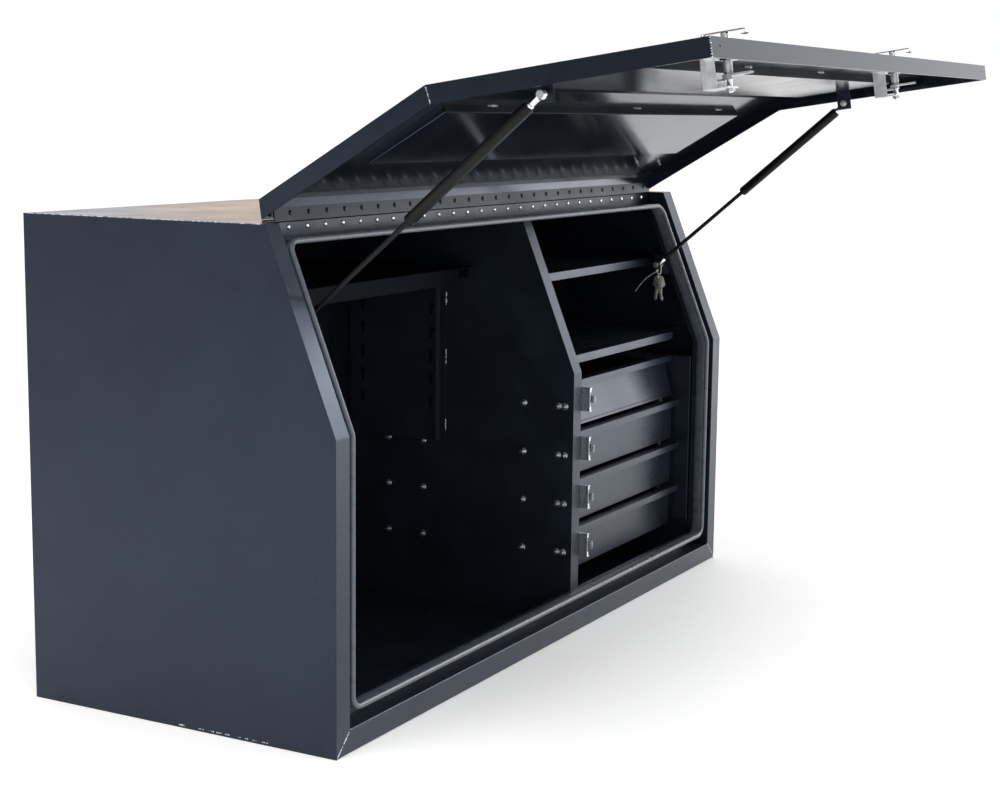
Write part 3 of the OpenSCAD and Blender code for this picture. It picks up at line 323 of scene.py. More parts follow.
def seal_line():
    """The lip's line round the opening as (x, s, n_x, n_s), with its corners rounded."""
    x0, x1, s0 = LIP_X, BOX_W - LIP_X, SILL_LIP_Z
    s1 = BEND_END + (HEADER_LIP_Z - KNEE + LIP_DEPTH * math.sin(LEAN)) / math.cos(LEAN) - BEND
    r = CORNER_R
    knee = [BEND_START + KNEE_R * LEAN * i / KNEE_STEPS for i in range(KNEE_STEPS + 1)]
    corner = [(math.sin(a), math.cos(a)) for a in
              [math.pi / 2 * i / CORNER_STEPS for i in range(CORNER_STEPS + 1)]]
    level = [i / LEVEL_STEPS for i in range(1, LEVEL_STEPS)]
    line = [(x0, s, -1, 0) for s in [s0 + r] + knee + [s1 - r]]
    line += [(x0 + r * (1 - cos), s1 - r * (1 - sin), -cos, sin) for sin, cos in corner[1:]]
    line += [(x0 + (x1 - x0) * t, s1, 0, 1) for t in level]
    line += [(x1 - r * (1 - sin), s1 - r * (1 - cos), sin, cos) for sin, cos in corner]
    line += [(x1, s, 1, 0) for s in knee[::-1]]
    line += [(x1 - r * (1 - cos), s0 + r * (1 - sin), cos, -sin) for sin, cos in corner]
    line += [(x1 + (x0 - x1) * t, s0, 0, -1) for t in level]
    line += [(x0 + r * (1 - sin), s0 + r * (1 - cos), -sin, -cos) for sin, cos in corner[:-1]]
    return line


bulb = [(BULB_HALF_W * math.sin(a), LIP_DEPTH - BULB_R - BULB_R * math.cos(a)) for a in
        [2 * math.pi * i / BULB_SIDES for i in range(BULB_SIDES)]]
grip = [(-3.4, 10.5), (-2.2, 9.6), (2.2, 9.6), (3.4, 10.5), (3.9, 13), (3.5, 20), (3.6, GRIP_END - 1),
        (2.6, GRIP_END), (-2.6, GRIP_END), (-3.6, GRIP_END - 1), (-3.5, 20), (-3.9, 13)]
mesh = bmesh.new()
for profile in (bulb, grip):
    rings = [[mesh.verts.new(box_place @ seal_point(*stop, u, v)) for u, v in profile]
             for stop in seal_line()]
    for ring, following in zip(rings, rings[1:] + rings[:1]):
        for i in range(len(profile)):
            j = (i + 1) % len(profile)
            mesh.faces.new((ring[i], ring[j], following[j], following[i]))
bmesh.ops.recalc_face_normals(mesh, faces=mesh.faces)
data = bpy.data.meshes.new("door_seal_rubber")
mesh.to_mesh(data)
mesh.free()
data.shade_smooth()
keep("door_seal_rubber", data, seal_rubber, "box", ["door_seal"])


# Divider, shelves and keyhole board: folded sheet, coated black, screwed or stitch welded in. The left
# shelf and its brackets get a darker, duller copy of the inside coat with hardly any sheen, painted shade
# that keeps them black in the bay. The right shelves and the drawers' side panel are coated like the
# outside.
shelf_painted_shade_coat = powder_coat("shelf_coat_painted_shade", "black_inside", "#0c0f13", "#13171c",
                          smooth=0.55, rough=0.7, gloss=0.03, peel=0.15)
for node in ["divider_panel", "slide_packers"]:
    folded(node, "box", inside, fold=1.8)
folded("keyhole_board", "box", inside, fold=3.0)
for node in ["left_shelf", "left_shelf_brackets"]:
    folded(node, "box", shelf_painted_shade_coat, fold=1.8)
for node in ["upper_shelf", "lower_shelf", "drawer_side_panel"]:
    folded(node, "box", charcoal, fold=2.0)
BOARD_EDGE_X, BOARD_EDGE_Y = 867.2, 322
weld("board_stitch_welds",
     [[(BOARD_EDGE_X, BOARD_EDGE_Y, z) for z in run] for run in ((350, 370), (482, 510), (600, 622))],
     box_place, "box", bead=1.8, pitch=3.0, seed=7)


# Slides: bright zinc-plated steel channels, rolled and bolted through the packers. The nuts show on
# the divider's left face.
def plated(name, slot, pale, dull_tone, smooth, rough, scale, **constants):
    """Plated or polished metal. Handling leaves cloudy patches in its tone and its gloss, with scale
    of them to the metre, so that at 110 they are 9 mm wide."""
    made, tree, shader = material(name, slot, Metallic=1.0, **constants)
    place = add(tree, "ShaderNodeTexCoord")
    cloud = add(tree, "ShaderNodeTexNoise", {"Scale": scale, "Detail": 4.0, "Roughness": 0.6},
                {"Vector": (place, "Object")})
    tone = add(tree, "ShaderNodeMapRange", {1: 0.3, 2: 0.7, 3: 0.0, 4: 1.0}, {0: (cloud, "Fac")})
    colour = add(tree, "ShaderNodeMix", {6: linear(pale), 7: linear(dull_tone)}, {0: (tone, 0)},
                 data_type="RGBA")
    gloss = add(tree, "ShaderNodeMapRange", {1: 0.3, 2: 0.7, 3: smooth, 4: rough}, {0: (cloud, "Fac")})
    bump = add(tree, "ShaderNodeBump", {"Strength": 0.08, "Distance": 0.0003}, {"Height": (cloud, "Fac")})
    tree.links.new(colour.outputs[2], shader.inputs["Base Color"])
    tree.links.new(gloss.outputs[0], shader.inputs["Roughness"])
    tree.links.new(bump.outputs[0], shader.inputs["Normal"])
    return made


DRAWERS = range(1, 5)
zinc = plated("zinc_plated_steel", "zinc_steel", "#e4e6e8", "#c0c4c8", smooth=0.24, rough=0.42, scale=110.0)
folded("slide_outer_members", "box", zinc, fold=0.9, cut=0.2)
for n in DRAWERS:
    folded(f"slide_middle_{n}", f"middle_{n}", zinc, fold=0.9, cut=0.2)
    folded(f"drawer_{n}_runners", f"drawer_{n}", zinc, fold=0.9, cut=0.2)

# A nut or bolt head is a hexagon with a round raised face, a washer under it and a thread through it.
# The face and the washer follow the hexagon's size by fixed ratios.
FACE_RATIO, FACE_RISE, WASHER_RATIO, WASHER_T = 0.84, 1.1, 1.16, 2
hex_tree, source = start_tree("hex_fastener", [("Half width", "Float"), ("Height", "Float"),
                                               ("Thread", "Float"), ("Thread length", "Float"),
                                               ("Turn", "Rotation"), ("Finish", "Material")])
half_up = add(hex_tree, "ShaderNodeMath", {1: 0.5}, {0: (source, "Height")}, operation="MULTIPLY")
nut_at = add(hex_tree, "ShaderNodeCombineXYZ", links={"Z": (half_up, 0)})
nut = add(hex_tree, "GeometryNodeMeshCylinder", {"Vertices": 6},
          {"Radius": (source, "Half width"), "Depth": (source, "Height")})
nut_up = add(hex_tree, "GeometryNodeTransform", links={"Geometry": (nut, 0), "Translation": (nut_at, 0)})
face_r = add(hex_tree, "ShaderNodeMath", {1: FACE_RATIO}, {0: (source, "Half width")},
             operation="MULTIPLY")
face_h = add(hex_tree, "ShaderNodeMath", {1: FACE_RISE}, {0: (source, "Height")}, operation="MULTIPLY")
face = add(hex_tree, "GeometryNodeMeshCylinder", {"Vertices": 18},
           {"Radius": (face_r, 0), "Depth": (face_h, 0)})
face_up = add(hex_tree, "GeometryNodeTransform",
              links={"Geometry": (face, 0), "Translation": (nut_at, 0)})
washer_r = add(hex_tree, "ShaderNodeMath", {1: WASHER_RATIO}, {0: (source, "Half width")},
               operation="MULTIPLY")
washer = add(hex_tree, "GeometryNodeMeshCylinder", {"Vertices": 24, "Depth": WASHER_T / 1000},
             {"Radius": (washer_r, 0)})
thread_mid = add(hex_tree, "ShaderNodeMath", {1: 0.5}, {0: (source, "Thread length")},
                 operation="MULTIPLY")
thread_at = add(hex_tree, "ShaderNodeCombineXYZ", links={"Z": (thread_mid, 0)})
thread = add(hex_tree, "GeometryNodeMeshCylinder", {"Vertices": 14},
             {"Radius": (source, "Thread"), "Depth": (source, "Thread length")})
thread_up = add(hex_tree, "GeometryNodeTransform",
                links={"Geometry": (thread, 0), "Translation": (thread_at, 0)})
joined = add(hex_tree, "GeometryNodeJoinGeometry")
for part in (nut_up, face_up, washer, thread_up):
    hex_tree.links.new(part.outputs[0], joined.inputs[0])
placed = add(hex_tree, "GeometryNodeInstanceOnPoints",
             links={"Points": (source, "Geometry"), "Instance": (joined, 0), "Rotation": (source, "Turn")})
end_tree(hex_tree, source, placed)


def facing(direction):
    """The turn that takes +Z to a direction in the frame, as Euler angles."""
    return Vector((0, 0, 1)).rotation_difference(Vector(direction)).to_euler()


def nuts(name, places, place, direction, half_width, height, thread, length, body, nodes=()):
    """Hex nuts or bolts at places, pointing along a direction given in the pieces' own frame."""
    way = (place.to_3x3() @ Vector(direction)).normalized()
    sizes = {"Half width": half_width / 1000, "Height": height / 1000, "Thread": thread / 1000,
             "Thread length": length / 1000, "Turn": facing(way)}
    grown(name, hex_tree, [place @ Vector(p) for p in places], [], sizes, zinc, body, nodes)


# Each slide has five bolts, but the top one has only the front three.
DIVIDER_X, DRAWER_LOW, DRAWER_PITCH, DRAWER_H = 868, 83, 95, 88
BOLT_RISE, BOLT_Y, HEAD_X = 8, (58, 72, 147, 373, 454), DIVIDER_X + SHEET + 3


def bolt_z(n):
    """Height of the bolts behind drawer n's left slide. Drawer 1 is the top one."""
    return DRAWER_LOW + (4 - n) * DRAWER_PITCH + DRAWER_H / 2 + BOLT_RISE


bolts = [(y, bolt_z(n)) for n in DRAWERS for y in (BOLT_Y[:3] if n == 1 else BOLT_Y)]
nuts("slide_nuts_bright", [(DIVIDER_X, y, z) for y, z in bolts], box_place, (-1, 0, 0),
     half_width=6, height=4.6, thread=3, length=11, body="box", nodes=["slide_nuts"])
nuts("slide_bolt_heads", [(HEAD_X, y, z) for y, z in bolts], box_place, (1, 0, 0),
     half_width=4.6, height=2.6, thread=2, length=2.6, body="box", nodes=["slide_bolts"])


# Drawers: 1.5 mm sheet trays with a full-width pull lip, coated like the box. They catch grey light
# on their fronts and along the rolled lips.
for n in DRAWERS:
    folded(f"drawer_{n}", f"drawer_{n}", charcoal, fold=2.2, cut=0.3)


# Lid: one cranked sheet with its edges turned in and two welded stiffening pans. Outside it is coated
# like the box, inside it has a smooth gloss that mirrors the floor, and the pans' steep walls get a darker,
# dull copy of the coat: painted shade that keeps them black.
HINGE_Y, HINGE_Z, LID_ANGLE = 160.6, 805, 98.5
LID_X, LID_LOW, LID_SHEET, LID_FLANGE = 41, 55, 2.5, 28
lid_place = (box_place @ Matrix.Translation((0, HINGE_Y, HINGE_Z))
             @ Matrix.Rotation(math.radians(-LID_ANGLE), 4, "X")
             @ Matrix.Translation((0, -HINGE_Y, -HINGE_Z)))
lid_turn = lid_place.to_3x3()
lid_coat = powder_coat("lid_gloss_coat", "charcoal_panel", "#11151b", "#171c23",
                       smooth=0.1, rough=0.17, gloss=0.55, peel=0.06)


def second_coat(piece, finish, direction, least=0.6):
    """Gives the faces of a lid piece that look along a direction of the shut lid another finish.
    least is the cosine of the widest angle that still counts."""
    way = (lid_turn @ Vector(direction)).normalized()
    piece.data.materials.append(finish)
    for face in piece.data.polygons:
        if face.normal.dot(way) > least:
            face.material_index = 1


second_coat(folded("lid_skin", "lid", lid_coat), charcoal, (0, -1, 0))
# Painted shade: the pans' steep walls are darkened and given almost no sheen so that they stay black.
pan_wall_painted_shade = powder_coat("lid_pan_wall_painted_shade", "charcoal_panel", "#0b0d10", "#101317",
                        smooth=0.45, rough=0.6, gloss=0.06, peel=0.1)
for node in ["upper_lid_pan", "lower_lid_pan"]:
    second_coat(folded(node, "lid", lid_coat, fold=2.0), pan_wall_painted_shade, (0, 0, -1))


def knee_z(depth):
    """Height of the crank at a depth behind the front."""
    return KNEE - depth * math.tan(LEAN / 2)


def slope(depth, along):
    """(y, z) on the sloping part: a depth behind its face and a distance above the crank."""
    rise = along + depth * math.tan(LEAN / 2)
    return (depth * math.cos(LEAN) + rise * math.sin(LEAN),
            KNEE - depth * math.sin(LEAN) + rise * math.cos(LEAN))


def stitch(x, y, z, length=28):
    """A short run of weld along the box."""
    return [(x, y, z), (x + length, y, z)]


# The lid's ends are welded across the crank and along the bottom corners, and the pans are stitched
# to the skin. Two small studs with nuts stand on the slope near the hinge, towards the right.
SEAM_Y = LID_SHEET + 0.3
WELD_END = LID_FLANGE - 1
weld("lid_seam_welds",
     [[(x, d, knee_z(d)) for d in (1, 8, 15, 22, WELD_END)] for x in (LID_X + 0.5, BOX_W - LID_X - 0.5)]
     + [[(x, 2, LID_LOW + 0.6), (x, WELD_END, LID_LOW + 0.6)] for x in (LID_X + 0.8, BOX_W - LID_X - 0.8)],
     lid_place, "lid", bead=1.5, pitch=3.2, seed=11)
weld("pan_stitch_welds",
     [stitch(x, SEAM_Y, 212) for x in (176, 567, 916, 1270)]
     + [stitch(x, SEAM_Y, 400) for x in (300, 740, 1180)]
     + [stitch(x, *slope(SEAM_Y, 49)) for x in (300, 843, 1230)],
     lid_place, "lid", bead=1.9, pitch=3.4, seed=13)
lean_out = (0, math.cos(LEAN), -math.sin(LEAN))
nuts("lid_stud_ends", [(x, *slope(LID_SHEET, 262)) for x in (1261, 1370)], lid_place, lean_out,
     half_width=3.2, height=2.2, thread=1.9, length=10, body="lid")


# Hinge: a long black-coated piano hinge, held by a row of domed aluminium rivets in each leaf. The
# body's row is uncoated and shines, and the lid's row is coated black with its leaf.
RIVET_X0, RIVET_PITCH, RIVET_N = 61.5, 50.5, 28
RIVET_HEAD, RIVET_RISE = 4.3, 2.1
BODY_ROW_Y, BODY_ROW_Z = 162.1, 794
LID_ROW_Y, LID_ROW_Z = 149.6, 801
STEM_RATIO, STEM_RISE = 0.3, 2.12
rivet_tree, source = start_tree("domed_rivet", [("Head", "Float"), ("Rise", "Float"),
                                                ("Turn", "Rotation"), ("Finish", "Material")])
dome = add(rivet_tree, "GeometryNodeMeshUVSphere", {"Segments": 18, "Rings": 10, "Radius": 1.0})
spread = add(rivet_tree, "ShaderNodeCombineXYZ",
             links={"X": (source, "Head"), "Y": (source, "Head"), "Z": (source, "Rise")})
domed = add(rivet_tree, "GeometryNodeTransform", links={"Geometry": (dome, 0), "Scale": (spread, 0)})
stem_r = add(rivet_tree, "ShaderNodeMath", {1: STEM_RATIO}, {0: (source, "Head")}, operation="MULTIPLY")
stem_h = add(rivet_tree, "ShaderNodeMath", {1: STEM_RISE}, {0: (source, "Rise")}, operation="MULTIPLY")
stem = add(rivet_tree, "GeometryNodeMeshCylinder", {"Vertices": 10},
           {"Radius": (stem_r, 0), "Depth": (stem_h, 0)})
whole = add(rivet_tree, "GeometryNodeJoinGeometry")
for part in (domed, stem):
    rivet_tree.links.new(part.outputs[0], whole.inputs[0])
set_in = add(rivet_tree, "GeometryNodeInstanceOnPoints",
             links={"Points": (source, "Geometry"), "Instance": (whole, 0), "Rotation": (source, "Turn")})
end_tree(rivet_tree, source, set_in)
rivet_metal = plated("aluminium_rivet", "zinc_steel", "#e6e7e9", "#bfc2c6",
                     smooth=0.24, rough=0.42, scale=160.0)


def rivets(name, places, place, direction, head, rise, finish, body, nodes=()):
    """Domed rivets at places, their heads pointing along a direction in the pieces' own frame."""
    way = (place.to_3x3() @ Vector(direction)).normalized()
    sizes = {"Head": head / 1000, "Rise": rise / 1000, "Turn": facing(way)}
    grown(name, rivet_tree, [place @ Vector(p) for p in places], [], sizes, finish, body, nodes)


row = [RIVET_X0 + i * RIVET_PITCH for i in range(RIVET_N)]
hinge_coat = powder_coat("hinge_black_coat", "charcoal_panel", "#0d0f12", "#15171b",
                         smooth=0.25, rough=0.4, gloss=0.28, peel=0.1)
rivets("body_leaf_rivets", [(x, BODY_ROW_Y, BODY_ROW_Z) for x in row], box_place, (0, -1, 0),
       RIVET_HEAD, RIVET_RISE, rivet_metal, "box", ["body_hinge_rivets"])
rivets("lid_leaf_rivets", [(x, LID_ROW_Y, LID_ROW_Z) for x in row], lid_place, (0, 0, -1),
       RIVET_HEAD, RIVET_RISE, hinge_coat, "lid", ["lid_hinge_rivets"])
for name, finish in (("body_hinge_leaf", hinge_coat), ("lid_hinge_leaf", hinge_coat), ("hinge_pin", zinc)):
    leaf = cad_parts[name]
    leaf.data.materials.clear()
    leaf.data.materials.append(finish)


# Gas struts: black painted cylinders with a rolled mouth and black nitrided rods. The rod ends in a
# bright ferrule and a black socket, and the cylinder in a bright neck and socket. Each socket snaps
# over a ball stud, and the lower stud stands on an angle behind the gutter.
AROUND, SHARP = 36, math.radians(35)


def lathe(name, profile, start, toward, finish, body, nodes=()):
    """Turns (distance, radius) pairs round a line from start, in the frame, along a direction."""
    axis = Vector(toward).normalized()
    across = axis.orthogonal().normalized()
    third = axis.cross(across)
    mesh = bmesh.new()
    rings = []
    for distance, radius in profile:
        centre = Vector(start) + axis * distance / 1000
        angles = [2 * math.pi * i / AROUND for i in range(AROUND if radius > 0 else 1)]
        rings.append([mesh.verts.new(centre + radius / 1000 * (math.cos(a) * across + math.sin(a) * third))
                      for a in angles])
    for ring, following in zip(rings, rings[1:]):
        for i in range(AROUND):
            j = (i + 1) % AROUND
            corners = [ring[i % len(ring)], ring[j % len(ring)],
                       following[j % len(following)], following[i % len(following)]]
            mesh.faces.new(list(dict.fromkeys(corners)))
    bmesh.ops.recalc_face_normals(mesh, faces=mesh.faces)
    data = bpy.data.meshes.new(name)
    mesh.to_mesh(data)
    mesh.free()
    data.shade_smooth()
    data.set_sharp_from_angle(angle=SHARP)
    keep(name, data, finish, body, nodes)


# The paint is satin black, with patches some 11 mm wide in its gloss. The chrome is a clear mirror
# with few marks.
strut_black, tree, shader = material("strut_black_paint", "strut_black", Specular_IOR_Level=0.2)
place = add(tree, "ShaderNodeTexCoord")
cloud = add(tree, "ShaderNodeTexNoise", {"Scale": 90.0, "Detail": 3.0}, {"Vector": (place, "Object")})
colour = add(tree, "ShaderNodeMix", {6: linear("#0b0b0c"), 7: linear("#17181a")}, {0: (cloud, "Fac")},
             data_type="RGBA")
gloss = add(tree, "ShaderNodeMapRange", {1: 0.3, 2: 0.7, 3: 0.28, 4: 0.42}, {0: (cloud, "Fac")})
tree.links.new(colour.outputs[2], shader.inputs["Base Color"])
tree.links.new(gloss.outputs[0], shader.inputs["Roughness"])
chrome = plated("bright_chrome", "chrome", "#eceef0", "#d2d6da", smooth=0.08, rough=0.2, scale=60.0)

STRUT_X, CYL_LEN, CYL_R, ROD_R, NECK = 82, 262, 9.3, 4, 25
SOCKET_R, SOCKET_HALF, SOCKET_STEPS = 8.5, 6, 10
low_ball = Vector((STRUT_X, 118, 650))
high_ball = Vector((STRUT_X, 36, 330))
stops = [-SOCKET_HALF + 2 * SOCKET_HALF * i / SOCKET_STEPS for i in range(SOCKET_STEPS + 1)]
socket = ([(-SOCKET_HALF, 0)] + [(s, math.sqrt(SOCKET_R ** 2 - s ** 2)) for s in stops]
          + [(SOCKET_HALF, 0)])
for side, sign in (("left", 1), ("right", -1)):
    start, end = box_place @ low_ball, lid_place @ high_ball
    start.x, end.x = sign * start.x, sign * end.x
    way = (end - start).normalized()
    length = (end - start).length * 1000
    top = length - NECK
    mouth = top - CYL_LEN
    rod, tube = f"{side}_rod", f"{side}_cylinder"
    lathe(f"{side}_rod_bar", [(0, 0), (0, ROD_R), (mouth + 29, ROD_R), (mouth + 29, 0)],
          start, way, strut_black, rod, [f"{side}_strut_rod"])
    lathe(f"{side}_rod_ferrule", [(6, 0), (6, 6.2), (9, 6.6), (19, 6.2), (23, 5.2), (24, 4.4), (24, 0)],
          start, way, chrome, rod)
    lathe(f"{side}_rod_socket", socket, start, (1, 0, 0), strut_black, rod)
    lathe(f"{side}_cylinder_tube",
          [(mouth, 4.3), (mouth, 6.8), (mouth + 1.2, 8.2), (mouth + 3, CYL_R), (mouth + 7, CYL_R),
           (mouth + 7.8, 8.9), (mouth + 8.6, CYL_R), (top - 4, CYL_R), (top - 1, 8.2), (top, 6.4),
           (top, 0)], start, way, strut_black, tube, [f"{side}_strut_cylinder"])
    lathe(f"{side}_cylinder_band",
          [(mouth + 9, CYL_R), (mouth + 9, CYL_R + 0.25), (mouth + 12, CYL_R + 0.25), (mouth + 12, CYL_R)],
          start, way, strut_black, tube)
    lathe(f"{side}_cylinder_neck",
          [(top - 1, 0), (top - 1, 6.3), (top + 3, 6.3), (top + 4, 5.0), (length - 8, 5.4),
           (length - 5, 6.4), (length - 5, 0)], start, way, chrome, tube)
    lathe(f"{side}_cylinder_socket", socket, end, (1, 0, 0), chrome, tube)
    lathe(f"{side}_upper_stud", [(0, 0), (0, 4), (6.8, 4), (6.8, 6.4), (9.8, 6.4), (9.8, 0)],
          end, (sign, 0, 0), zinc, tube)
folded("strut_wall_brackets", "box", inside, fold=2.0)
folded("strut_lid_brackets", "lid", inside, fold=2.0)
folded("strut_wall_studs", "box", zinc, fold=0.8, cut=0.3)
folded("strut_bracket_nuts", "lid", zinc, fold=0.8, cut=0.3)


# Latches: a galvanised steel base inside the lid with a bent frame, a threaded lock barrel with a
# black collar outside, a chromed T-handle and a cranked lever held between nuts. The galvanised
# steel is pale and matt, and the collar's black is smooth.
LATCH_X, LATCH_Z = (335, BOX_W - 335), 150
galvanised = plated("galvanised_steel", "zinc_steel", "#f0f1f2", "#cfd2d5",
                    smooth=0.45, rough=0.62, scale=70.0)
lock_black = powder_coat("lock_black", "black_inside", "#08090a", "#101113",
                         smooth=0.2, rough=0.34, gloss=0.5, peel=0.06)


def prism(name, outline, low, high, place, finish, body, nodes=(), edge=0.4):
    """An outline in a plane, made solid from low to high along the third axis, with softened edges."""
    mesh = bmesh.new()
    base = [mesh.verts.new((u, v, low)) for u, v in outline]
    face = mesh.faces.new(base)
    top = bmesh.ops.extrude_face_region(mesh, geom=[face])
    for item in top["geom"]:
        if isinstance(item, bmesh.types.BMVert):
            item.co.z = high
    bmesh.ops.recalc_face_normals(mesh, faces=mesh.faces)
    sharp = [e for e in mesh.edges if e.calc_face_angle(0) > math.radians(40)]
    bmesh.ops.bevel(mesh, geom=sharp, offset=edge, segments=2, affect="EDGES", profile=0.5,
                    clamp_overlap=True)
    bmesh.ops.transform(mesh, matrix=place, verts=mesh.verts)
    bmesh.ops.recalc_face_normals(mesh, faces=mesh.faces)
    data = bpy.data.meshes.new(name)
    mesh.to_mesh(data)
    mesh.free()
    data.shade_smooth()
    data.set_sharp_from_angle(angle=SHARP)
    keep(name, data, finish, body, nodes)


def band(path, thickness):
    """Outline of a strip of a thickness that follows a path in a plane."""
    left, right = [], []
    for i, (x, y) in enumerate(path):
        (ax, ay), (bx, by) = path[max(0, i - 1)], path[min(len(path) - 1, i + 1)]
        size = math.hypot(bx - ax, by - ay)
        nx, ny = -(by - ay) / size * thickness / 2, (bx - ax) / size * thickness / 2
        left.append((x + nx, y + ny))
        right.append((x - nx, y - ny))
    return left + right[::-1]


def arc(cx, cy, radius, first, last, steps):
    """Points on an arc, in degrees."""
    return [(cx + radius * math.cos(math.radians(a)), cy + radius * math.sin(math.radians(a)))
            for a in [first + (last - first) * i / steps for i in range(steps + 1)]]


# The handle's bar is a strip with both ends curled in, 31 mm each way from the middle and 33 mm out.
# Its plane has u along the box's Z and v along its Y, and the bar is solid along X.
BAR_REACH, BAR_OUT, CURL_R, BAR_T, BAR_HALF = 31, 33.2, 4.0, 1.6, 6.5
BORE_R, ROOT_R, CREST_R, THREAD_STEP, THREAD_ENDS = 4.05, 6.4, 7.0, 0.75, 29
BASE_RIVETS = [(u, 5.5, v) for u in (-52, 52) for v in (-16, 16)]
curl_y = -BAR_OUT + CURL_R
curl = (arc(-BAR_REACH, curl_y, CURL_R, 30, 270, 10) + [(0, -BAR_OUT)]
        + arc(BAR_REACH, curl_y, CURL_R, -90, 150, 10))
threads = [(2.5 + i * THREAD_STEP, ROOT_R if i % 2 else CREST_R) for i in range(THREAD_ENDS)]
way = (lid_turn @ Vector((0, 1, 0))).normalized()
for side, x in zip(("left", "right"), LATCH_X):
    latch = lid_place @ Matrix.Translation((x, 0, LATCH_Z))
    centre = latch.to_translation()
    turns = f"{side}_latch"
    folded(f"{side}_latch_body", "lid", galvanised, fold=2.0)
    rivets(f"{side}_latch_rivets", BASE_RIVETS, latch, (0, 1, 0), 3.6, 1.6, rivet_metal, "lid")
    lathe(f"{side}_latch_barrel_body",
          [(-0.2, BORE_R), (-0.2, CREST_R)] + threads + [(25.2, 5.8), (26, 5.8), (26, BORE_R)],
          centre, way, galvanised, "lid", [f"{side}_latch_barrel"])
    lathe(f"{side}_latch_collar",
          [(-4, BORE_R), (-4, 11), (-3.4, 13.6), (-2, 15), (0, 15), (0, BORE_R)],
          centre, way, lock_black, "lid")
    lathe(f"{side}_latch_washer", [(5.6, CREST_R), (5.6, 11.5), (8.4, 11.5), (8.4, CREST_R)],
          centre, way, lock_black, "lid")
    bar_plane = latch @ Matrix(((0, 0, 1, 0), (0, 1, 0, 0), (1, 0, 0, 0), (0, 0, 0, 1)))
    prism(f"{side}_handle_bar", band(curl, BAR_T), -BAR_HALF, BAR_HALF, bar_plane, chrome, turns,
          [f"{side}_latch_handle"], edge=0.5)
    lathe(f"{side}_handle_stem",
          [(-32.5, 0), (-32.5, 5), (-30, 6.5), (-9, 6.5), (-7, 5.6), (-4.4, 5.6), (-4.4, 4), (54.5, 4),
           (56, 3.2), (56, 0)], centre, way, chrome, turns)
    folded(f"{side}_latch_lever", turns, zinc, fold=1.6, cut=0.4)


# Keys on a nylon tie: two plain nickel-plated keys on a small wire ring, hung from the right strut's
# lower stud by a white cable tie whose long tail is left on. The light and shade of the tie's ribs, 3 mm
# apart, is painted as a little unevenness in its tone, and the keys' nickel is warm and worn matt.
BRACKET_X, BRACKET_SHEET = 59, 3
TIE_X = BOX_W - (BRACKET_X + BRACKET_SHEET + STRUT_X - SOCKET_HALF) / 2
nylon, tree, shader = material("white_nylon", "white_nylon", Specular_IOR_Level=0.5,
                               Subsurface_Weight=0.15)
place = add(tree, "ShaderNodeTexCoord")
rib_shade_noise = add(tree, "ShaderNodeTexNoise", {"Scale": 300.0, "Detail": 2.0}, {"Vector": (place, "Object")})
# Painted shade: the tone's 3 mm unevenness stands in for the light and shade on the tie's ribs.
colour = add(tree, "ShaderNodeMix", {6: linear("#f4f3ee"), 7: linear("#e2e1da")}, {0: (rib_shade_noise, "Fac")},
             data_type="RGBA")
tree.links.new(colour.outputs[2], shader.inputs["Base Color"])
shine = add(tree, "ShaderNodeMapRange", {1: 0.3, 2: 0.7, 3: 0.3, 4: 0.45}, {0: (rib_shade_noise, "Fac")})
tree.links.new(shine.outputs[0], shader.inputs["Roughness"])
nickel = plated("nickel_plated_keys", "zinc_steel", "#f6f2e9", "#d9d4c8",
                smooth=0.4, rough=0.55, scale=150.0)

# The bunch hangs in a plane with u along the box's Y and v along its Z, and is solid along X.
LOOP_R, NECK_R, NECK_DROP = 4.9, 4.0, 16.9
hang = (box_place @ Matrix.Translation((TIE_X, low_ball.y, low_ball.z))
        @ Matrix(((0, 0, 1, 0), (1, 0, 0, 0), (0, 1, 0, 0), (0, 0, 0, 1))))
loop = (arc(0, 0, LOOP_R, -20, 200, 14) + [(-4.6, -8), (-4.1, -14)]
        + arc(0, -NECK_DROP, NECK_R, 175, 365, 12) + [(4.3, -11)])
head = [(2.2, -15.5), (7.2, -17.5), (5.6, -11.5), (2.2, -10.5)]
tail = [(5, -15), (14, -20), (28, -29), (42, -43), (51, -55), (56, -62)]
prism("key_tie_loop", band(loop, 1.2), -1.6, 1.6, hang, nylon, "key_bunch", ["key_tie"], edge=0.25)
prism("key_tie_head", head, -2.6, 2.6, hang, nylon, "key_bunch", edge=0.6)
prism("key_tie_tail", band(tail, 1.1), -1.3, 1.3, hang, nylon, "key_bunch", edge=0.25)


def key_outline():
    """Outline of a key hung by its bow: a round bow with shoulders and a blade cut on one side."""
    cuts = [(-4.4, -20), (-4.4, -26), (-2.2, -28.5), (-4.0, -31), (-1.6, -34), (-3.2, -37), (-2.4, -40),
            (-4.2, -43), (0, -48.5), (4.4, -44)]
    bow = (arc(7, -13, 6, -90, 0, 6) + arc(5, 0, 6, 10, 90, 6) + arc(-5, 0, 6, 90, 170, 6)
           + arc(-7, -13, 6, 180, 270, 6))
    return bow + cuts + [(4.4, -20)]


RING_DROP, RING_R, WIRE_R, WIRE_SIDES = 24, 5, 0.9, 12
KEY_DROP, KEY_T, KEY_STEP, KEY_START = 30.6, 2, 2.2, -2.1
wire = [(WIRE_R * math.sin(a), RING_R + WIRE_R * math.cos(a))
        for a in [2 * math.pi * i / WIRE_SIDES for i in range(WIRE_SIDES + 1)]]
lathe("key_ring_wire", wire, hang @ Vector((0, -RING_DROP, 0)), (0, 1, 0), nickel, "key_bunch",
      ["key_ring"])
for n, tilt in ((0, -11), (1, 10)):
    key = (hang @ Matrix.Translation((0, -KEY_DROP, KEY_START + n * KEY_STEP))
           @ Matrix.Rotation(math.radians(tilt), 4, "Z"))
    prism(f"key_{n + 1}", key_outline(), 0, KEY_T, key, nickel, "key_bunch",
          ["keys"] if n == 0 else (), edge=0.35)


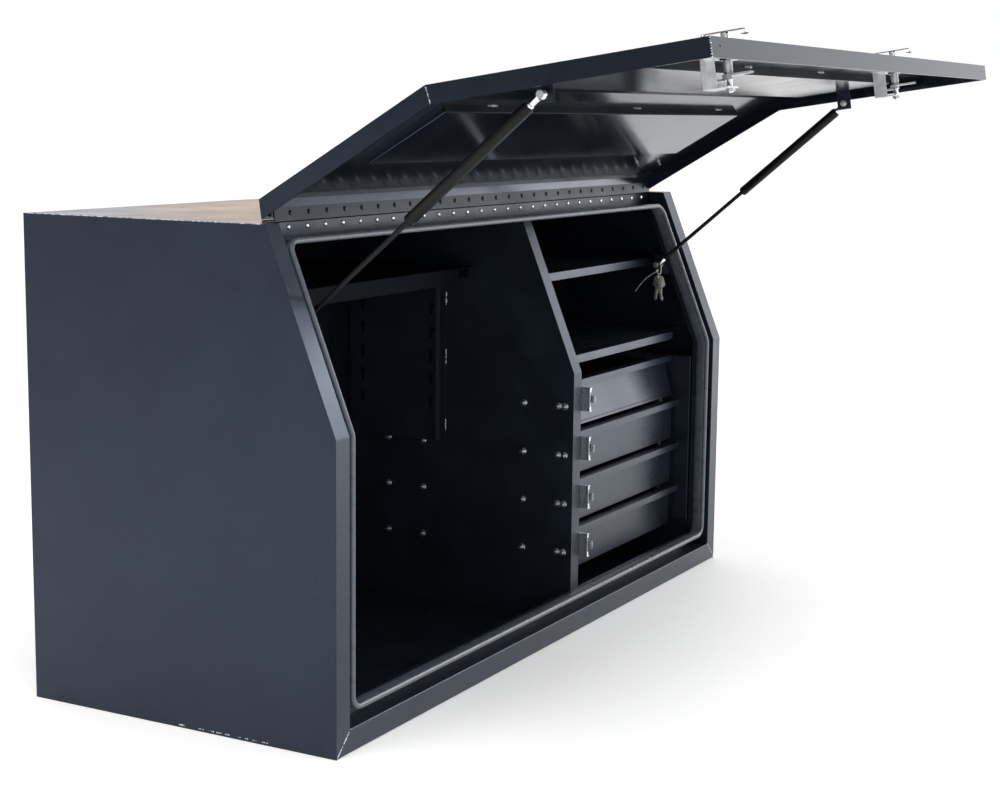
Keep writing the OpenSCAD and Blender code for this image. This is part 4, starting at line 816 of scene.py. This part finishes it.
# Floor: a plain white studio floor, lifted a little to the eye and in reflections so that it meets
# the white backdrop without a line.
FLOOR_HALF, FLOOR_Z, FLOOR_LIFT = 60, -0.0005, 0.2
floor_paint, tree, shader = material("white_floor", "", Roughness=0.6, Specular_IOR_Level=0.2)
place = add(tree, "ShaderNodeTexCoord")
cloud = add(tree, "ShaderNodeTexNoise", {"Scale": 3.0, "Detail": 2.0}, {"Vector": (place, "Object")})
colour = add(tree, "ShaderNodeMix", {6: linear("#ffffff"), 7: linear("#fcfcfc")}, {0: (cloud, "Fac")},
             data_type="RGBA")
tree.links.new(colour.outputs[2], shader.inputs["Base Color"])
rays = add(tree, "ShaderNodeLightPath")
seen = add(tree, "ShaderNodeMath", links={0: (rays, "Is Camera Ray"), 1: (rays, "Is Glossy Ray")},
           operation="MAXIMUM")
lift = add(tree, "ShaderNodeMath", {1: FLOOR_LIFT}, {0: (seen, 0)}, operation="MULTIPLY")
tree.links.new(lift.outputs[0], shader.inputs["Emission Strength"])
shader.inputs["Emission Color"].default_value = (1, 1, 1, 1)
data = bpy.data.meshes.new("studio_floor")
corners = [(FLOOR_HALF * x, FLOOR_HALF * y, FLOOR_Z) for x, y in ((-1, -1), (1, -1), (1, 1), (-1, 1))]
data.from_pydata(corners, [], [(0, 1, 2, 3)])
studio_floor = bpy.data.objects.new("studio_floor", data)
bpy.context.scene.collection.objects.link(studio_floor)
data.materials.append(floor_paint)


# Light: a white studio that is brighter at the front right and dimmer at the back left, with a warm
# wall behind. One soft box lays its glare on the leaning rim, a low card lifts the upright fronts, one
# lights the floor that the left side mirrors, and a dim one hangs above.
BRIGHT_WAY, WALL_WAY = (0.75, -0.66, 0.0), (0.87, 0.49, 0.05)
DIMMEST, BRIGHTEST, WALL_BOOST = 0.33, 1.35, 0.9
world = bpy.data.worlds.new("white_studio")
world.use_nodes = True
bpy.context.scene.world = world
tree = world.node_tree
place = add(tree, "ShaderNodeTexCoord")
ahead_right = add(tree, "ShaderNodeVectorMath", {1: BRIGHT_WAY}, {0: (place, "Generated")},
                  operation="DOT_PRODUCT")
fall = add(tree, "ShaderNodeMapRange", {1: -1.0, 2: 1.0, 3: DIMMEST, 4: BRIGHTEST},
           {0: (ahead_right, "Value")})
behind = add(tree, "ShaderNodeVectorMath", {1: WALL_WAY}, {0: (place, "Generated")},
             operation="DOT_PRODUCT")
near_wall = add(tree, "ShaderNodeMapRange", {1: 0.88, 2: 1.0, 3: 0.0, 4: 1.0}, {0: (behind, "Value")})
warmth = add(tree, "ShaderNodeMapRange", {1: 0.972, 2: 0.986, 3: 0.0, 4: 1.0}, {0: (behind, "Value")})
cool = add(tree, "ShaderNodeMix", {6: (1, 1, 1, 1), 7: linear("#dcebff")}, {0: (near_wall, 0)},
           data_type="RGBA")
wall = add(tree, "ShaderNodeMix", {7: linear("#ffdcb8")}, {0: (warmth, 0), 6: (cool, 2)},
           data_type="RGBA")
wall_light = add(tree, "ShaderNodeMath", {1: WALL_BOOST}, {0: (near_wall, 0)}, operation="MULTIPLY")
strength = add(tree, "ShaderNodeMath", links={0: (fall, 0), 1: (wall_light, 0)}, operation="ADD")
studio = tree.nodes["Background"]
tree.links.new(wall.outputs[2], studio.inputs["Color"])
tree.links.new(strength.outputs[0], studio.inputs["Strength"])
backdrop = add(tree, "ShaderNodeBackground", {"Color": (1, 1, 1, 1), "Strength": 1.0})
rays = add(tree, "ShaderNodeLightPath")
mixed = add(tree, "ShaderNodeMixShader",
            links={0: (rays, "Is Camera Ray"), 1: (studio, 0), 2: (backdrop, 0)})
tree.links.new(mixed.outputs[0], tree.nodes["World Output"].inputs["Surface"])


def soft_box(name, where, target, width, height, power, lights="both"):
    """A rectangular studio lamp that faces a target and gives glare, plain light or both."""
    lamp = bpy.data.lights.new(name, "AREA")
    lamp.shape, lamp.size, lamp.size_y, lamp.energy = "RECTANGLE", width, height, power
    placed = bpy.data.objects.new(name, lamp)
    placed.location = where
    placed.rotation_euler = (Vector(target) - Vector(where)).to_track_quat("-Z", "Y").to_euler()
    placed.visible_camera = False
    placed.visible_diffuse = lights != "glossy"
    placed.visible_glossy = lights != "diffuse"
    bpy.context.scene.collection.objects.link(placed)


soft_box("front_right_soft_box", (4.14, -3.17, 2.9), (-0.5, 0, 0.7), 1.5, 1.0, power=120, lights="glossy")
soft_box("front_right_card", (2.6, -2.3, 0.6), (0, 0, 0.3), 2.4, 1.2, power=22)
soft_box("left_floor_soft_box", (-2.5, 0.3, 2.2), (-2.3, 0.6, 0), 1.2, 1.2, power=28, lights="diffuse")
soft_box("top_soft_box", (-1.5, -1.5, 4.5), (0, 0, 0.5), 2.0, 2.0, power=50)


# Camera: a little above the top of the box, looking past its left front corner. Its place is in
# metres, and the turn from straight ahead, the tilt down and the slight roll are in degrees.
CAMERA_PLACE = (-2.95943, -1.78408, 0.97371)
YAW, PITCH, ROLL = 61.31, 8.73, -0.67
SENSOR, FOCAL, NEAR, FAR = 36, 65.82, 0.05, 200
yaw, pitch, roll = (math.radians(angle) for angle in (YAW, PITCH, ROLL))
ahead = Vector((math.sin(yaw) * math.cos(pitch), math.cos(yaw) * math.cos(pitch), -math.sin(pitch)))
right = Vector((math.cos(yaw), -math.sin(yaw), 0))
down = ahead.cross(right)
level = math.cos(roll) * right + math.sin(roll) * down
plumb = -math.sin(roll) * right + math.cos(roll) * down
lens = bpy.data.cameras.new("camera")
lens.sensor_width, lens.lens = SENSOR, FOCAL
lens.clip_start, lens.clip_end = NEAR, FAR
camera = bpy.data.objects.new("camera", lens)
bpy.context.scene.collection.objects.link(camera)
camera.matrix_world = Matrix.Translation(CAMERA_PLACE) @ Matrix(
    [(level[i], -plumb[i], -ahead[i], 0) for i in range(3)] + [(0, 0, 0, 1)])
bpy.context.scene.camera = camera
bpy.context.scene.view_settings.view_transform = "Standard"
